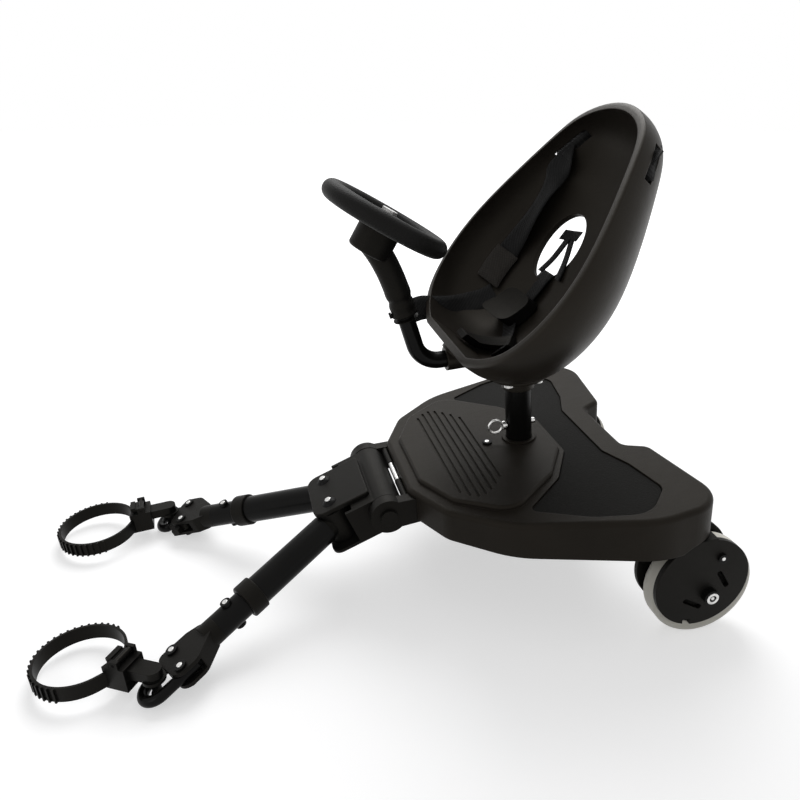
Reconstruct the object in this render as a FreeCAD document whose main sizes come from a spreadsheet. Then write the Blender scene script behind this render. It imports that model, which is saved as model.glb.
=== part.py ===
import FreeCAD, Part
import math
import os
from types import SimpleNamespace
from FreeCAD import Placement, Rotation, Vector

# Buggy board: a two-wheeled standing deck that hooks on behind a pushchair, with a bucket seat and a toy
# steering wheel. X runs to the rear, Y to the right-hand side of travel, Z up. Sizes are in mm and degrees.

SIZES = {
    # stance
    "deck_pitch": 4.87,
    "axle_x": 118.7,
    "axle_drop": 99.3,
    "wheel_half_track": 145.4,
    "running_gap": 0.06,
    "free_gap": 0.4,
    # deck outline, half widths at named stations
    "nose_x": 129.5,
    "nose_half": 50,
    "shoulder_x": 106,
    "shoulder_half": 98,
    "flank_x": 58,
    "flank_half": 139,
    "hip_x": 62,
    "hip_half": 174,
    "tail_x": 131,
    "tail_half": 164,
    "lobe_x": 115,
    "lobe_half": 54,
    "waist_x": 93,
    "waist_half": 42,
    "deck_top": 5.5,
    "deck_wall": 3.5,
    "skirt_front": 27.5,
    "skirt_rear": 46.5,
    "deck_edge_round": 5,
    "island_rise": 4.5,
    "island_round": 3,
    "groove_width": 2.4,
    "groove_depth": 1.6,
    "groove_pitch": 7.2,
    "groove_length": 184,
    "mat_recess": 3.5,
    "mat_thick": 2,
    "rib_thick": 3,
    "rib_depth": 16,
    # rear wheels
    "tyre_d": 100,
    "tyre_width": 24,
    "tyre_depth": 13,
    "tyre_round": 6,
    "hub_rim": 4,
    "hub_web": 6,
    "axle_d": 8,
    "bush_wall": 2,
    "cheek_r": 46,
    "cheek_thick": 5,
    "cheek_back": 7.5,
    "cheek_up": 14.7,
    "cheek_gap": 2.5,
    # seat and post
    "post_d": 26,
    "post_wall": 2,
    "post_top": 74,
    "socket_d": 34,
    "socket_top": 6.5,
    "post_pin_d": 6,
    "post_pin_height": 21,
    "seat_x": 67.4,
    "seat_z": 115.7,
    "seat_angle": 48.1,
    "seat_length": 261,
    "seat_r": 133.3,
    "seat_depth": 82,
    "seat_wall": 7,
    "seat_rim_rise": 9,
    "flank_hole_x": 138,
    "flank_hole_y": 61,
    "flank_hole_length": 76,
    "flank_hole_width": 42,
    "flank_hole_turn": 21,
    "strap_width": 25,
    "strap_thick": 2,
    # steering
    "column_d": 16,
    "column_z": 103.7,
    "column_bend": 24,
    "column_lean": 12.6,
    "column_corner_x": 96.7,
    "neck_d": 23.4,
    "ring_x": 117.9,
    "ring_z": 242.1,
    "ring_tilt": 34.9,
    "ring_d": 121,
    "ring_tube_d": 17,
    # hitch
    "hinge_x": 151.2,
    "hinge_drop": 20,
    "hinge_pin_d": 10,
    "ear_r": 17.25,
    "ear_inner": 48.2,
    "ear_thick": 11.8,
    "barrel_r": 17,
    "lock_bar_d": 6,
    "yoke_front": 64,
    "yoke_drop": 21,
    "yoke_wall": 4,
    "cover_top": 20,
    "cover_thick": 4,
    "cover_half": 35,
    "pivot_t": 47,
    "pivot_half": 20.75,
    "rivet_d": 8,
    # arms
    "arm_splay": 28.8,
    "arm_tube_d": 28.3,
    "arm_tube_wall": 1.8,
    "arm_tube_end": 108,
    "collar_d": 33,
    "collar_length": 16,
    "inner_tube_end": 150,
    "hook_s": 218,
    "hook_side": 5,
    "hook_ring_r": 13,
    "hook_bar_d": 10,
    "housing_height": 18,
    # clamps
    "clamp_droop": 5,
    "clamp_turn_left": 33,
    "clamp_turn_right": 4,
    "loop_r": 38,
    "loop_reach": 78,
    "band_width": 14,
    "band_thick": 2.5,
    "tooth_height": 1.8,
}

doc = FreeCAD.newDocument("buggy_board")
sheet = doc.addObject("Spreadsheet::Sheet", "Sizes")
for row, (word, number) in enumerate(SIZES.items(), start=1):
    sheet.set(f"A{row}", word)
    sheet.set(f"B{row}", str(number))
    sheet.setAlias(f"B{row}", word)
doc.recompute()


class Size(float):
    """A length that remembers the spreadsheet expression it comes from."""

    def __new__(cls, value, text):
        made = super().__new__(cls, value)
        made.text = text
        return made

    def __add__(self, other):
        return Size(float(self) + float(other), f"({self.text} + {text_of(other)})")

    def __radd__(self, other):
        return Size(float(other) + float(self), f"({text_of(other)} + {self.text})")

    def __sub__(self, other):
        return Size(float(self) - float(other), f"({self.text} - {text_of(other)})")

    def __rsub__(self, other):
        return Size(float(other) - float(self), f"({text_of(other)} - {self.text})")

    def __mul__(self, other):
        return Size(float(self) * float(other), f"({self.text} * {text_of(other)})")

    def __rmul__(self, other):
        return Size(float(other) * float(self), f"({text_of(other)} * {self.text})")

    def __truediv__(self, other):
        return Size(float(self) / float(other), f"({self.text} / {text_of(other)})")

    def __neg__(self):
        return Size(-float(self), f"(0 - {self.text})")


def text_of(value):
    return value.text if isinstance(value, Size) else f"({float(value)})"


S = SimpleNamespace(**{word: Size(float(sheet.get(word)), f"Sizes.{word}") for word in SIZES})

X = Vector(1, 0, 0)
Y = Vector(0, 1, 0)
Z = Vector(0, 0, 1)
STAND = Rotation(X, 90)          # turns a flat drawing up into the X-Z plane
ALONG_X = Rotation(Y, 90)        # turns a Z axis to +X
ALONG_Y = Rotation(X, -90)       # turns a Z axis to +Y
FLAT = Rotation()
parts = {}


def bind(feature, name, value):
    """Ties a property to the spreadsheet where the value comes from it."""
    if isinstance(value, Size):
        feature.setExpression(name, value.text)
    else:
        setattr(feature, name, value)


def box(low, high):
    """A block between two corners given as (x, y, z)."""
    block = doc.addObject("Part::Box", "Block")
    for name, start, end in zip(("Length", "Width", "Height"), low, high):
        bind(block, name, end - start)
    block.Placement = Placement(Vector(*low), FLAT)
    return block


def rod(radius, length, base, turn=FLAT):
    """A cylinder from its base point along the turned Z axis."""
    cylinder = doc.addObject("Part::Cylinder", "Rod")
    bind(cylinder, "Radius", radius)
    bind(cylinder, "Height", length)
    cylinder.Placement = Placement(Vector(*base), turn)
    return cylinder


def ball(radius, centre):
    sphere = doc.addObject("Part::Sphere", "Ball")
    bind(sphere, "Radius", radius)
    sphere.Placement = Placement(Vector(*centre), FLAT)
    return sphere


def hoop(ring_radius, bar_radius, centre, turn=FLAT, sweep=360):
    torus = doc.addObject("Part::Torus", "Hoop")
    bind(torus, "Radius1", ring_radius)
    bind(torus, "Radius2", bar_radius)
    torus.Angle3 = sweep
    torus.Placement = Placement(Vector(*centre), turn)
    return torus


def fuse(*shapes):
    union = doc.addObject("Part::MultiFuse", "Union")
    union.Shapes = list(shapes)
    union.Refine = True
    return union


def cut(base, *tools):
    difference = doc.addObject("Part::Cut", "Difference")
    difference.Base = base
    difference.Tool = tools[0] if len(tools) == 1 else fuse(*tools)
    difference.Refine = True
    return difference


def overlap(first, second):
    shared = doc.addObject("Part::Common", "Shared")
    shared.Base = first
    shared.Tool = second
    return shared


def group(shapes):
    """Several loose solids that make one node."""
    compound = doc.addObject("Part::Compound", "Group")
    compound.Links = list(shapes)
    return compound


def unit(vector):
    return vector * (1.0 / vector.Length)


def rounded(corners):
    """Straight sides joined by tangent arcs; each corner is (x, y, radius)."""
    count = len(corners)
    points = [Vector(float(x), float(y), 0) for x, y, radius in corners]
    firsts, lasts, outline = [], [], []
    for index, (x, y, radius) in enumerate(corners):
        back = unit(points[index - 1] - points[index])
        ahead = unit(points[(index + 1) % count] - points[index])
        half = back.getAngle(ahead) / 2
        run = float(radius) / math.tan(half)
        firsts.append(points[index] + back * run)
        lasts.append(points[index] + ahead * run)
        if radius > 0:
            middle = unit(back + ahead)
            crown = points[index] + middle * (float(radius) / math.sin(half) - float(radius))
            outline.append(Part.ArcOfCircle(firsts[-1], crown, lasts[-1]))
    for index in range(count):
        outline.append(Part.LineSegment(lasts[index], firsts[(index + 1) % count]))
    return outline


def inset(corners, distance):
    """The same outline, moved inwards by a distance."""
    count = len(corners)
    points = [Vector(float(x), float(y), 0) for x, y, radius in corners]
    moved = []
    for index, (x, y, radius) in enumerate(corners):
        back = unit(points[index - 1] - points[index])
        ahead = unit(points[(index + 1) % count] - points[index])
        half = back.getAngle(ahead) / 2
        hollow = ahead.cross(back).z < 0
        side = -1 if hollow else 1
        corner = points[index] + unit(back + ahead) * (side * distance / math.sin(half))
        moved.append((corner.x, corner.y, max(0.5, radius - side * distance)))
    return moved


def both_halves(half):
    """Mirrors half an outline in the X axis, anticlockwise from the nose."""
    return [(x, -y, radius) for x, y, radius in half] + [(x, y, radius) for x, y, radius in reversed(half)]


def rectangle(low_x, low_y, high_x, high_y):
    return rounded([(low_x, low_y, 0), (high_x, low_y, 0), (high_x, high_y, 0), (low_x, high_y, 0)])


def circle(x, y, radius):
    return Part.Circle(Vector(float(x), float(y), 0), Z, float(radius))


def drawing(geometry, place=None):
    sketch = doc.addObject("Sketcher::SketchObject", "Drawing")
    sketch.addGeometry(list(geometry), False)
    if place is not None:
        sketch.Placement = place
    return sketch


def plate(geometry, thickness, base=(0, 0, 0), turn=FLAT):
    """A flat drawing given a thickness along its own normal."""
    extrusion = doc.addObject("Part::Extrusion", "Plate")
    extrusion.Base = drawing(geometry, Placement(Vector(*base), turn))
    extrusion.DirMode = "Normal"
    extrusion.Solid = True
    bind(extrusion, "LengthFwd", thickness)
    return extrusion


def rounded_edges(base, radius, wanted):
    """Rounds the edges of a shape that the test picks."""
    doc.recompute()
    fillet = doc.addObject("Part::Fillet", "Rounding")
    fillet.Base = base
    fillet.Edges = [
        (number, float(radius), float(radius))
        for number, edge in enumerate(base.Shape.Edges, start=1)
        if wanted(edge)
    ]
    return fillet


def sweep(radius, spine_geometry, start, start_turn):
    """A round bar along a path drawn in the X-Z plane."""
    spine = drawing(spine_geometry, Placement(Vector(), STAND))
    section = drawing([circle(0, 0, radius)], Placement(Vector(*start), start_turn))
    doc.recompute()
    pipe = doc.addObject("Part::Sweep", "Pipe")
    pipe.Sections = [section]
    pipe.Spine = (spine, [f"Edge{number + 1}" for number in range(len(spine.Shape.Edges))])
    pipe.Solid = True
    return pipe


def new_body(name):
    return doc.addObject("PartDesign::Body", name)


def body_sketch(body, geometry, lift=0, role="XY_Plane"):
    sketch = body.newObject("Sketcher::SketchObject", "Profile")
    plane = [feature for feature in body.Origin.OriginFeatures if feature.Role == role][0]
    sketch.AttachmentSupport = [(plane, "")]
    sketch.MapMode = "FlatFace"
    if isinstance(lift, Size):
        bind(sketch, "AttachmentOffset.Base.z", lift)
    else:
        sketch.AttachmentOffset = Placement(Vector(0, 0, lift), FLAT)
    sketch.addGeometry(list(geometry), False)
    return sketch


def body_pad(body, geometry, length, lift=0, down=False):
    pad = body.newObject("PartDesign::Pad", "Pad")
    pad.Profile = body_sketch(body, geometry, lift)
    pad.Reversed = down
    bind(pad, "Length", length)
    doc.recompute()
    return pad


def body_pocket(body, geometry, length, lift=0, up=False):
    pocket = body.newObject("PartDesign::Pocket", "Pocket")
    pocket.Profile = body_sketch(body, geometry, lift)
    pocket.Reversed = up
    bind(pocket, "Length", length)
    doc.recompute()
    return pocket


def body_fillet(body, feature, radius, wanted):
    fillet = body.newObject("PartDesign::Fillet", "Fillet")
    names = [f"Edge{number}" for number, edge in enumerate(feature.Shape.Edges, start=1) if wanted(edge)]
    fillet.Base = (feature, names)
    bind(fillet, "Radius", radius)
    doc.recompute()
    return fillet


def body_revolution(body, geometry, axis="V_Axis"):
    turned = body.newObject("PartDesign::Revolution", "Revolution")
    sketch = body_sketch(body, geometry)
    turned.Profile = sketch
    turned.ReferenceAxis = (sketch, [axis])
    turned.Angle = 360
    doc.recompute()
    return turned


def piece(node, shape, frame):
    """Names a finished sub-part and sets it in its frame."""
    doc.recompute()
    shape.Label = node
    shape.Placement = frame.multiply(shape.Placement)
    parts[node] = shape


def level(height):
    """A test for edges that lie in one horizontal plane."""
    return lambda edge: abs(edge.BoundBox.ZMin - height) < 1e-4 and abs(edge.BoundBox.ZMax - height) < 1e-4


# Frames. The deck frame has its rim plane at z = 0 and the post axis on its Z axis.
pitch = math.radians(S.deck_pitch)
tyre_r = S.tyre_d / 2
deck_height = tyre_r - (S.axle_x * math.sin(pitch) - S.axle_drop * math.cos(pitch))
DECK = Placement(Vector(0, 0, deck_height), Rotation(Y, -S.deck_pitch))
SIDES = {"left": -1, "right": 1}

hinge_world = DECK.multVec(Vector(-S.hinge_x, 0, -S.hinge_drop))
splay = math.radians(S.arm_splay)
hook_bar_r = S.hook_bar_d / 2
hook_run = S.pivot_t + S.hook_s * math.cos(splay) + S.hook_side * math.sin(splay) + S.hook_ring_r
yoke_pitch = math.degrees(math.asin((hinge_world.z - hook_bar_r) / hook_run))
YOKE = Placement(hinge_world, Rotation(Y, -yoke_pitch))
SEAT_IN_DECK = Placement(Vector(-S.seat_x, 0, S.seat_z), Rotation(Y, -S.seat_angle))
SEAT = DECK.multiply(SEAT_IN_DECK)
RING_IN_DECK = Placement(Vector(-S.ring_x, 0, S.ring_z), Rotation(Y, S.ring_tilt))
RING = DECK.multiply(RING_IN_DECK)


def arm_frame(side):
    """X along the arm from its rivet, Z square to the plane of the two arms."""
    pivot = Vector(-S.pivot_t, side * S.pivot_half, 0)
    return YOKE.multiply(Placement(pivot, Rotation(Z, 180 - side * S.arm_splay)))


# Deck tray: one moulding with a ridged island in front, a recess for the mat and a hollow ribbed underside.
deck_half = [
    (-S.nose_x, S.nose_half, 18),
    (-S.shoulder_x, S.shoulder_half, 26),
    (-S.flank_x, S.flank_half, 90),
    (S.hip_x, S.hip_half, 80),
    (S.tail_x, S.tail_half, 34),
    (S.lobe_x, S.lobe_half, 12),
    (S.waist_x, S.waist_half, 10),
]
island_half = [(-117, 44, 14), (-96, 88, 18), (-50, 122, 24), (4, 76, 20), (30, 33, 10)]
mat_half = [(-37, 121, 6), (10, 148, 60), (58, 160, 28), (88, 127, 14), (80, 80, 14), (68, 48, 8)]
mat_front = [(9, 80, 18), (34.5, 35, 10)]
deck_outline = both_halves(deck_half)
mat_outline = both_halves(mat_half) + [(x, y, radius) for x, y, radius in mat_front]
mat_outline += [(x, -y, radius) for x, y, radius in reversed(mat_front)]
bracket_spots = [(x, y) for x in (-108, -76) for y in (-32, 32)]
bracket_top = 24
socket_r = S.socket_d / 2
boss_r = socket_r + 7
boss_depth = 18.5
groove_front = 87
groove_trims = [12, 4, 0, 2, 8, 16, 26]
axle_spot = (S.axle_x, -S.axle_drop)
cheek_spot = (S.axle_x - S.cheek_back, S.cheek_up - S.axle_drop)

tray = new_body("DeckTray")
slab = body_pad(tray, rounded(deck_outline), S.skirt_rear, down=True)
body_fillet(tray, slab, S.deck_edge_round, level(0))
island = body_pad(tray, rounded(both_halves(island_half)), S.island_rise)
body_fillet(tray, island, S.island_round, level(float(S.island_rise)))
grooves = []
for index, trim in enumerate(groove_trims):
    reach = S.groove_length / 2 - trim
    centre = index * S.groove_pitch - groove_front
    low = (centre - S.groove_width / 2, -reach)
    high = (centre + S.groove_width / 2, reach)
    end = S.groove_width * 0.4
    ends = [(low[0], low[1]), (high[0], low[1]), (high[0], high[1]), (low[0], high[1])]
    grooves += rounded([(x, y, end) for x, y in ends])
body_pocket(tray, grooves, S.groove_depth, lift=S.island_rise)
body_pocket(tray, rounded(inset(mat_outline, -float(S.free_gap))), S.mat_recess)
body_pocket(tray, rounded(inset(deck_outline, float(S.deck_wall))), S.skirt_rear, lift=-S.deck_top)
for rib_x, rib_half in ((-55, 136), (50, 168)):
    rib = rectangle(rib_x, -rib_half, rib_x + S.rib_thick, rib_half)
    body_pad(tray, rib, S.rib_depth, lift=-S.deck_top, down=True)
for rib_y in (-64, 64):
    rib = rectangle(-98, rib_y, 88, rib_y + S.rib_thick)
    body_pad(tray, rib, S.rib_depth, lift=-S.deck_top, down=True)
bracket_bosses = [circle(x, y, 6) for x, y in bracket_spots]
body_pad(tray, bracket_bosses, bracket_top - S.deck_top, lift=-S.deck_top, down=True)
body_pad(tray, [circle(0, 0, boss_r)], boss_depth, lift=-S.deck_top, down=True)
nose_reach = S.ear_inner + S.ear_thick + S.free_gap
body_pocket(tray, rectangle(-S.nose_x - 9, -nose_reach, -112, nose_reach), S.skirt_rear, lift=-S.deck_top)
hole_depth = S.island_rise + S.skirt_rear
body_pocket(tray, [circle(0, 0, socket_r + S.running_gap)], hole_depth, lift=S.island_rise)
body_pocket(tray, [circle(-34, 0, 2.5)], 8, lift=S.island_rise)
slope_low = float(S.skirt_rear) + 20
slope = [
    (-S.nose_x - 12, -S.skirt_front, 0),
    (S.tail_x + 12, -S.skirt_rear - 1, 0),
    (S.tail_x + 12, -slope_low, 0),
    (-S.nose_x - 12, -slope_low, 0),
]
skirt_cut = plate(rounded(slope), 2 * S.hip_half + 40, (0, S.hip_half + 20, 0), STAND)
arch_start = (cheek_spot[0], -S.hip_half - 20, cheek_spot[1])
arch_cut = rod(S.cheek_r + 2.5, 2 * S.hip_half + 40, arch_start, ALONG_Y)
screw_holes = [rod(2.1, 12, (x, y, -bracket_top)) for x, y in bracket_spots]
piece("deck_tray", cut(tray, skirt_cut, arch_cut, *screw_holes), DECK)

mat = new_body("GripMat")
mat_pad = body_pad(mat, rounded(mat_outline), S.mat_thick, lift=-S.mat_recess)
body_fillet(mat, mat_pad, 0.6, level(float(S.mat_thick - S.mat_recess)))
piece("grip_mat", mat, DECK)

# Hitch bracket under the nose: a base plate and two ears with round ends about the hinge.
hinge_spot = (-S.hinge_x, -S.hinge_drop)
bar_spot = (-132, -10)
pin_r = S.hinge_pin_d / 2
base_thick = 6
base_bottom = bracket_top + base_thick
ear_top = S.deck_top + 0.5
ears = []
for side in (-1, 1):
    start = S.ear_inner if side > 0 else -S.ear_inner - S.ear_thick
    web = rounded([
        (hinge_spot[0], -ear_top, 0),
        (hinge_spot[0], hinge_spot[1] - 14, 0),
        (-100, -base_bottom, 0),
        (-84, -base_bottom, 0),
        (-100, -ear_top, 0),
    ])
    ears.append(plate(web, S.ear_thick, (0, start + S.ear_thick, 0), STAND))
    ears.append(rod(S.ear_r, S.ear_thick, (hinge_spot[0], start, hinge_spot[1]), ALONG_Y))
ear_outer = S.ear_inner + S.ear_thick
base_plate = box((-126, -ear_outer, -base_bottom), (-66, ear_outer, -bracket_top))
pin_bore = rod(pin_r, 2 * ear_outer + 2, (hinge_spot[0], -ear_outer - 1, hinge_spot[1]), ALONG_Y)
bar_half = S.ear_inner + 5
bar_bore = rod(S.lock_bar_d / 2, 2 * bar_half, (bar_spot[0], -bar_half, bar_spot[1]), ALONG_Y)
base_holes = [rod(2.6, base_thick + 2, (x, y, -base_bottom - 1)) for x, y in bracket_spots]
piece("hitch_bracket", cut(fuse(base_plate, *ears), pin_bore, bar_bore, *base_holes), DECK)

screws = []
for x, y in bracket_spots:
    screws.append(fuse(rod(2, 14, (x, y, -base_bottom)), rod(4.5, 3, (x, y, -base_bottom - 3))))
piece("bracket_screws", group(screws), DECK)

head_thick = 3
pin_half = ear_outer + head_thick
hinge_pin = fuse(
    rod(pin_r, 2 * pin_half, (hinge_spot[0], -pin_half, hinge_spot[1]), ALONG_Y),
    rod(pin_r + 3, head_thick, (hinge_spot[0], -pin_half, hinge_spot[1]), ALONG_Y),
    rod(pin_r + 3, head_thick, (hinge_spot[0], ear_outer, hinge_spot[1]), ALONG_Y),
)
piece("hinge_pin", hinge_pin, DECK)
lock_bar = rod(S.lock_bar_d / 2, 2 * bar_half, (bar_spot[0], -bar_half, bar_spot[1]), ALONG_Y)
piece("lock_bar", lock_bar, DECK)

# Rear wheels: a turned hub and tyre between the round cheeks of a fork under each lobe.
axle_r = S.axle_d / 2
bush_r = axle_r + S.running_gap + S.bush_wall
half_width = S.tyre_width / 2
cheek_in = half_width + S.cheek_gap
cheek_out = cheek_in + S.cheek_thick
rim_r = tyre_r - S.tyre_depth
bridge_low = tyre_r + 6
bridge_high = S.cheek_up + S.cheek_r
pillar_top = S.axle_drop - S.deck_top
fork_bolts = [(-23, 0), (-12, 0)]
cheek_screw = (9.5, 39)
hub_half = cheek_in - 1.5
fork_screws = []
axle_bolts = []


def fork(side):
    """Cheeks, bridge over the tyre and a pillar up to the deck, about the middle of the wheel."""
    outline = circle(-S.cheek_back, S.cheek_up, S.cheek_r)
    outer_start = cheek_in if side > 0 else -cheek_out
    inner_start = -cheek_out if side > 0 else cheek_in
    outer = plate([outline], S.cheek_thick, (0, outer_start + S.cheek_thick, 0), STAND)
    inner = plate([outline], S.cheek_thick, (0, inner_start + S.cheek_thick, 0), STAND)
    bridge = box((-25, -cheek_out, bridge_low), (4, cheek_out, bridge_high))
    pillar = box((-28, -10, bridge_low), (-7, 10, pillar_top))
    reach = 2 * cheek_out + 20
    bore = rod(axle_r, reach, (0, -cheek_out - 10, 0), ALONG_Y)
    notch = box((-24, -cheek_out - 1, -34), (-17, cheek_out + 1, -24))
    slot_depth = S.cheek_thick + 2
    slots = []
    for slot_x, slot_z, slot_turn in ((13, 14, -62), (-16, -7, -34)):
        slot_form = [(-11, -2.5, 2.4), (11, -2.5, 2.4), (11, 2.5, 2.4), (-11, 2.5, 2.4)]
        slot = plate(rounded(slot_form), slot_depth)
        slot.Base.Placement = Placement(
            Vector(slot_x, outer_start + S.cheek_thick + 1, slot_z), STAND.multiply(Rotation(Z, slot_turn))
        )
        slots.append(slot)
    holes = [rod(2.6, 40, (x, y, bridge_low - 1)) for x, y in fork_bolts]
    screw_hole = rod(2.5, S.cheek_thick + 2, (cheek_screw[0], outer_start - 1, cheek_screw[1]), ALONG_Y)
    return cut(fuse(outer, inner, bridge, pillar), bore, notch, *slots, *holes, screw_hole)


def wheel_ring(inner_r, outer_r, half, corner):
    """The half section of a ring about Y, with rounded outer corners."""
    corners = [(inner_r, -half, 0), (outer_r, -half, corner), (outer_r, half, corner), (inner_r, half, 0)]
    return rounded(corners)


for name, side in SIDES.items():
    spot = Vector(axle_spot[0], side * S.wheel_half_track, axle_spot[1])
    frame = DECK.multiply(Placement(spot, FLAT))
    local = Placement(spot, FLAT)
    piece(f"wheel_fork_{name}", fork(side), frame)

    tyre = new_body("Tyre")
    body_revolution(tyre, wheel_ring(rim_r, tyre_r, half_width, float(S.tyre_round)))
    piece(f"tyre_{name}", tyre, frame)

    hub = new_body("Hub")
    hub_section = [
        (bush_r, -hub_half + 1, 0),
        (bush_r + 6, -hub_half + 1, 1),
        (bush_r + 6, -S.hub_web / 2, 2),
        (rim_r - S.hub_rim, -S.hub_web / 2, 2),
        (rim_r - S.hub_rim, -half_width + 1, 1),
        (rim_r, -half_width + 1, 0),
        (rim_r, half_width - 1, 0),
        (rim_r - S.hub_rim, half_width - 1, 1),
        (rim_r - S.hub_rim, S.hub_web / 2, 2),
        (bush_r + 6, S.hub_web / 2, 2),
        (bush_r + 6, hub_half - 1, 1),
        (bush_r, hub_half - 1, 0),
    ]
    body_revolution(hub, rounded(hub_section))
    piece(f"hub_{name}", hub, frame)

    bushes = []
    for end in (-1, 1):
        sleeve_start = 0.5 if end > 0 else -hub_half + 1
        flange_start = hub_half - 1 if end > 0 else -hub_half
        sleeve = rod(bush_r, hub_half - 1.5, (0, sleeve_start, 0), ALONG_Y)
        flange = rod(bush_r + 3, 1, (0, flange_start, 0), ALONG_Y)
        bush_bore = rod(axle_r + S.running_gap, 2 * hub_half + 4, (0, -hub_half - 2, 0), ALONG_Y)
        bushes.append(cut(fuse(sleeve, flange), bush_bore))
    piece(f"bushes_{name}", group(bushes), frame)

    head_out = cheek_out if side > 0 else -cheek_out - 6
    nut_out = -cheek_out - 6 if side > 0 else cheek_out
    bolt = fuse(
        rod(axle_r, 2 * cheek_out + 12, (0, -cheek_out - 6, 0), ALONG_Y),
        rod(axle_r + 3.5, 6, (0, head_out, 0), ALONG_Y),
        rod(axle_r + 3, 6, (0, nut_out, 0), ALONG_Y),
    )
    bolt.Placement = local
    axle_bolts.append(bolt)

    for x, y in fork_bolts:
        screw = fuse(rod(2.5, 30, (x, y, bridge_low)), rod(4.5, 2.5, (x, y, bridge_low - 2.5)))
        screw.Placement = local
        fork_screws.append(screw)
    shank_start = cheek_in if side > 0 else -cheek_out
    head_start = cheek_out if side > 0 else -cheek_out - 2.5
    screw = fuse(
        rod(2.5, S.cheek_thick, (cheek_screw[0], shank_start, cheek_screw[1]), ALONG_Y),
        rod(4.5, 2.5, (cheek_screw[0], head_start, cheek_screw[1]), ALONG_Y),
    )
    screw.Placement = local
    fork_screws.append(screw)

piece("axle_bolts", group(axle_bolts), DECK)
piece("fork_screws", group(fork_screws), DECK)

# Post: a socket with a spigot in the deck, the tube over it, and a pin through both.
post_r = S.post_d / 2
spigot_r = post_r - S.post_wall - S.running_gap
spigot_top = 40
seat_boss_z = S.post_top + 4
pin_hole_r = S.post_pin_d / 2 + S.running_gap
post_foot = 1.2


def pin_hole():
    return rod(pin_hole_r, 2 * post_r + 10, (-post_r - 5, 0, S.post_pin_height), ALONG_X)


socket_low = S.deck_top + boss_depth
socket = fuse(
    rod(socket_r, socket_low + S.socket_top, (0, 0, -socket_low)),
    rod(boss_r, 4, (0, 0, -socket_low - 4)),
    rod(spigot_r, spigot_top, (0, 0, 0)),
)
moat = cut(
    rod(post_r + S.running_gap, S.socket_top, (0, 0, post_foot - 0.2)),
    rod(spigot_r, S.socket_top, (0, 0, post_foot - 0.2)),
)
piece("post_socket", cut(socket, moat, pin_hole()), DECK)
post = cut(
    rod(post_r, S.post_top - post_foot, (0, 0, post_foot)),
    rod(post_r - S.post_wall, S.post_top, (0, 0, 0)),
    pin_hole(),
)
piece("seat_post", post, DECK)

grip_r = 7
grip_bar_r = 1.3
pin_end = post_r + 3.5
post_pin = fuse(
    rod(S.post_pin_d / 2, 2 * pin_end, (-pin_end, 0, S.post_pin_height), ALONG_X),
    rod(S.post_pin_d / 2 + 1.5, 3, (-pin_end - 1, 0, S.post_pin_height), ALONG_X),
    hoop(grip_r, grip_bar_r, (-pin_end - grip_r - 1, 0, S.post_pin_height), STAND),
)
piece("post_pin", post_pin, DECK)

bolt_out = 15
bolt_spots = [(x, y) for x in (-bolt_out, bolt_out) for y in (-bolt_out, bolt_out)]
plate_disc = rod(28, 4, (0, 0, S.post_top))
collar_sleeve = rod(post_r + 3, 12, (0, 0, S.post_top - 12))
bolt_holes = [rod(3.05, 6, (x, y, S.post_top - 1)) for x, y in bolt_spots]
post_bore = rod(post_r, 12, (0, 0, S.post_top - 12))
piece("seat_plate", cut(fuse(plate_disc, collar_sleeve), post_bore, *bolt_holes), DECK)
seat_bolts = []
for x, y in bolt_spots:
    seat_bolts.append(fuse(rod(3, 11, (x, y, S.post_top)), rod(4.4, 4, (x, y, S.post_top - 4))))
piece("seat_bolts", group(seat_bolts), DECK)

# Seat shell: an egg turned about its long axis, flattened, cut open at the rim plane, with a boss for the
# post plate.
EGG_FORM = [
    (0, 0.48),
    (0.035, 0.66),
    (0.1, 0.845),
    (0.23, 0.985),
    (0.42, 1.0),
    (0.58, 0.894),
    (0.8, 0.666),
    (0.92, 0.492),
    (0.982, 0.255),
]


def egg(depth):
    """The solid egg, its surface moved inwards by a depth."""
    long_scale = float(S.seat_length) - 2 * depth
    round_scale = float(S.seat_r) - depth
    points = [Vector(depth + along * long_scale, out * round_scale, 0) for along, out in EGG_FORM]
    points.append(Vector(depth + long_scale, 0, 0))
    skin = Part.BSplineCurve()
    skin.interpolate(Points=points)
    front = Vector(depth, 0, 0)
    section = [Part.LineSegment(front, points[0]), skin, Part.LineSegment(points[-1], front)]
    turned = doc.addObject("Part::Revolution", "Egg")
    turned.Source = drawing(section, Placement(Vector(), STAND))
    turned.Axis = X
    turned.Base = Vector()
    turned.Angle = 360
    turned.Solid = True
    return turned


flatness = S.seat_depth / S.seat_r


def flattened(shape):
    """A shape worked out on the round egg, pressed flat to the depth of the seat."""
    flat = doc.addObject("Part::Scale", "Flat")
    flat.Base = shape
    flat.Uniform = False
    flat.XScale = 1
    flat.YScale = 1
    bind(flat, "ZScale", flatness)
    return flat


def unpressed(height):
    """The height on the round egg that ends up at a height in the flattened seat."""
    return height / flatness


def upright_rod(radius, length, base):
    """A rod square to the deck, drawn on the round egg so that it comes out round when pressed flat."""
    into_seat = SEAT_IN_DECK.inverse()
    foot = into_seat.multVec(Vector(*base))
    ahead = into_seat.Rotation.multVec(X)
    upward = into_seat.Rotation.multVec(Z)
    foot, ahead, upward = [Vector(spot.x, spot.y, unpressed(spot.z)) for spot in (foot, ahead, upward)]
    form = Part.Ellipse(Vector(radius * ahead.Length, 0, 0), Vector(0, radius, 0), Vector())
    bar = doc.addObject("Part::Extrusion", "UprightRod")
    bar.Base = drawing([form], Placement(foot, Rotation(ahead, Y, Vector(), "XYZ")))
    bar.DirMode = "Custom"
    bar.Dir = upward
    bar.LengthFwd = length * upward.Length
    bar.Solid = True
    return bar


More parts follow.
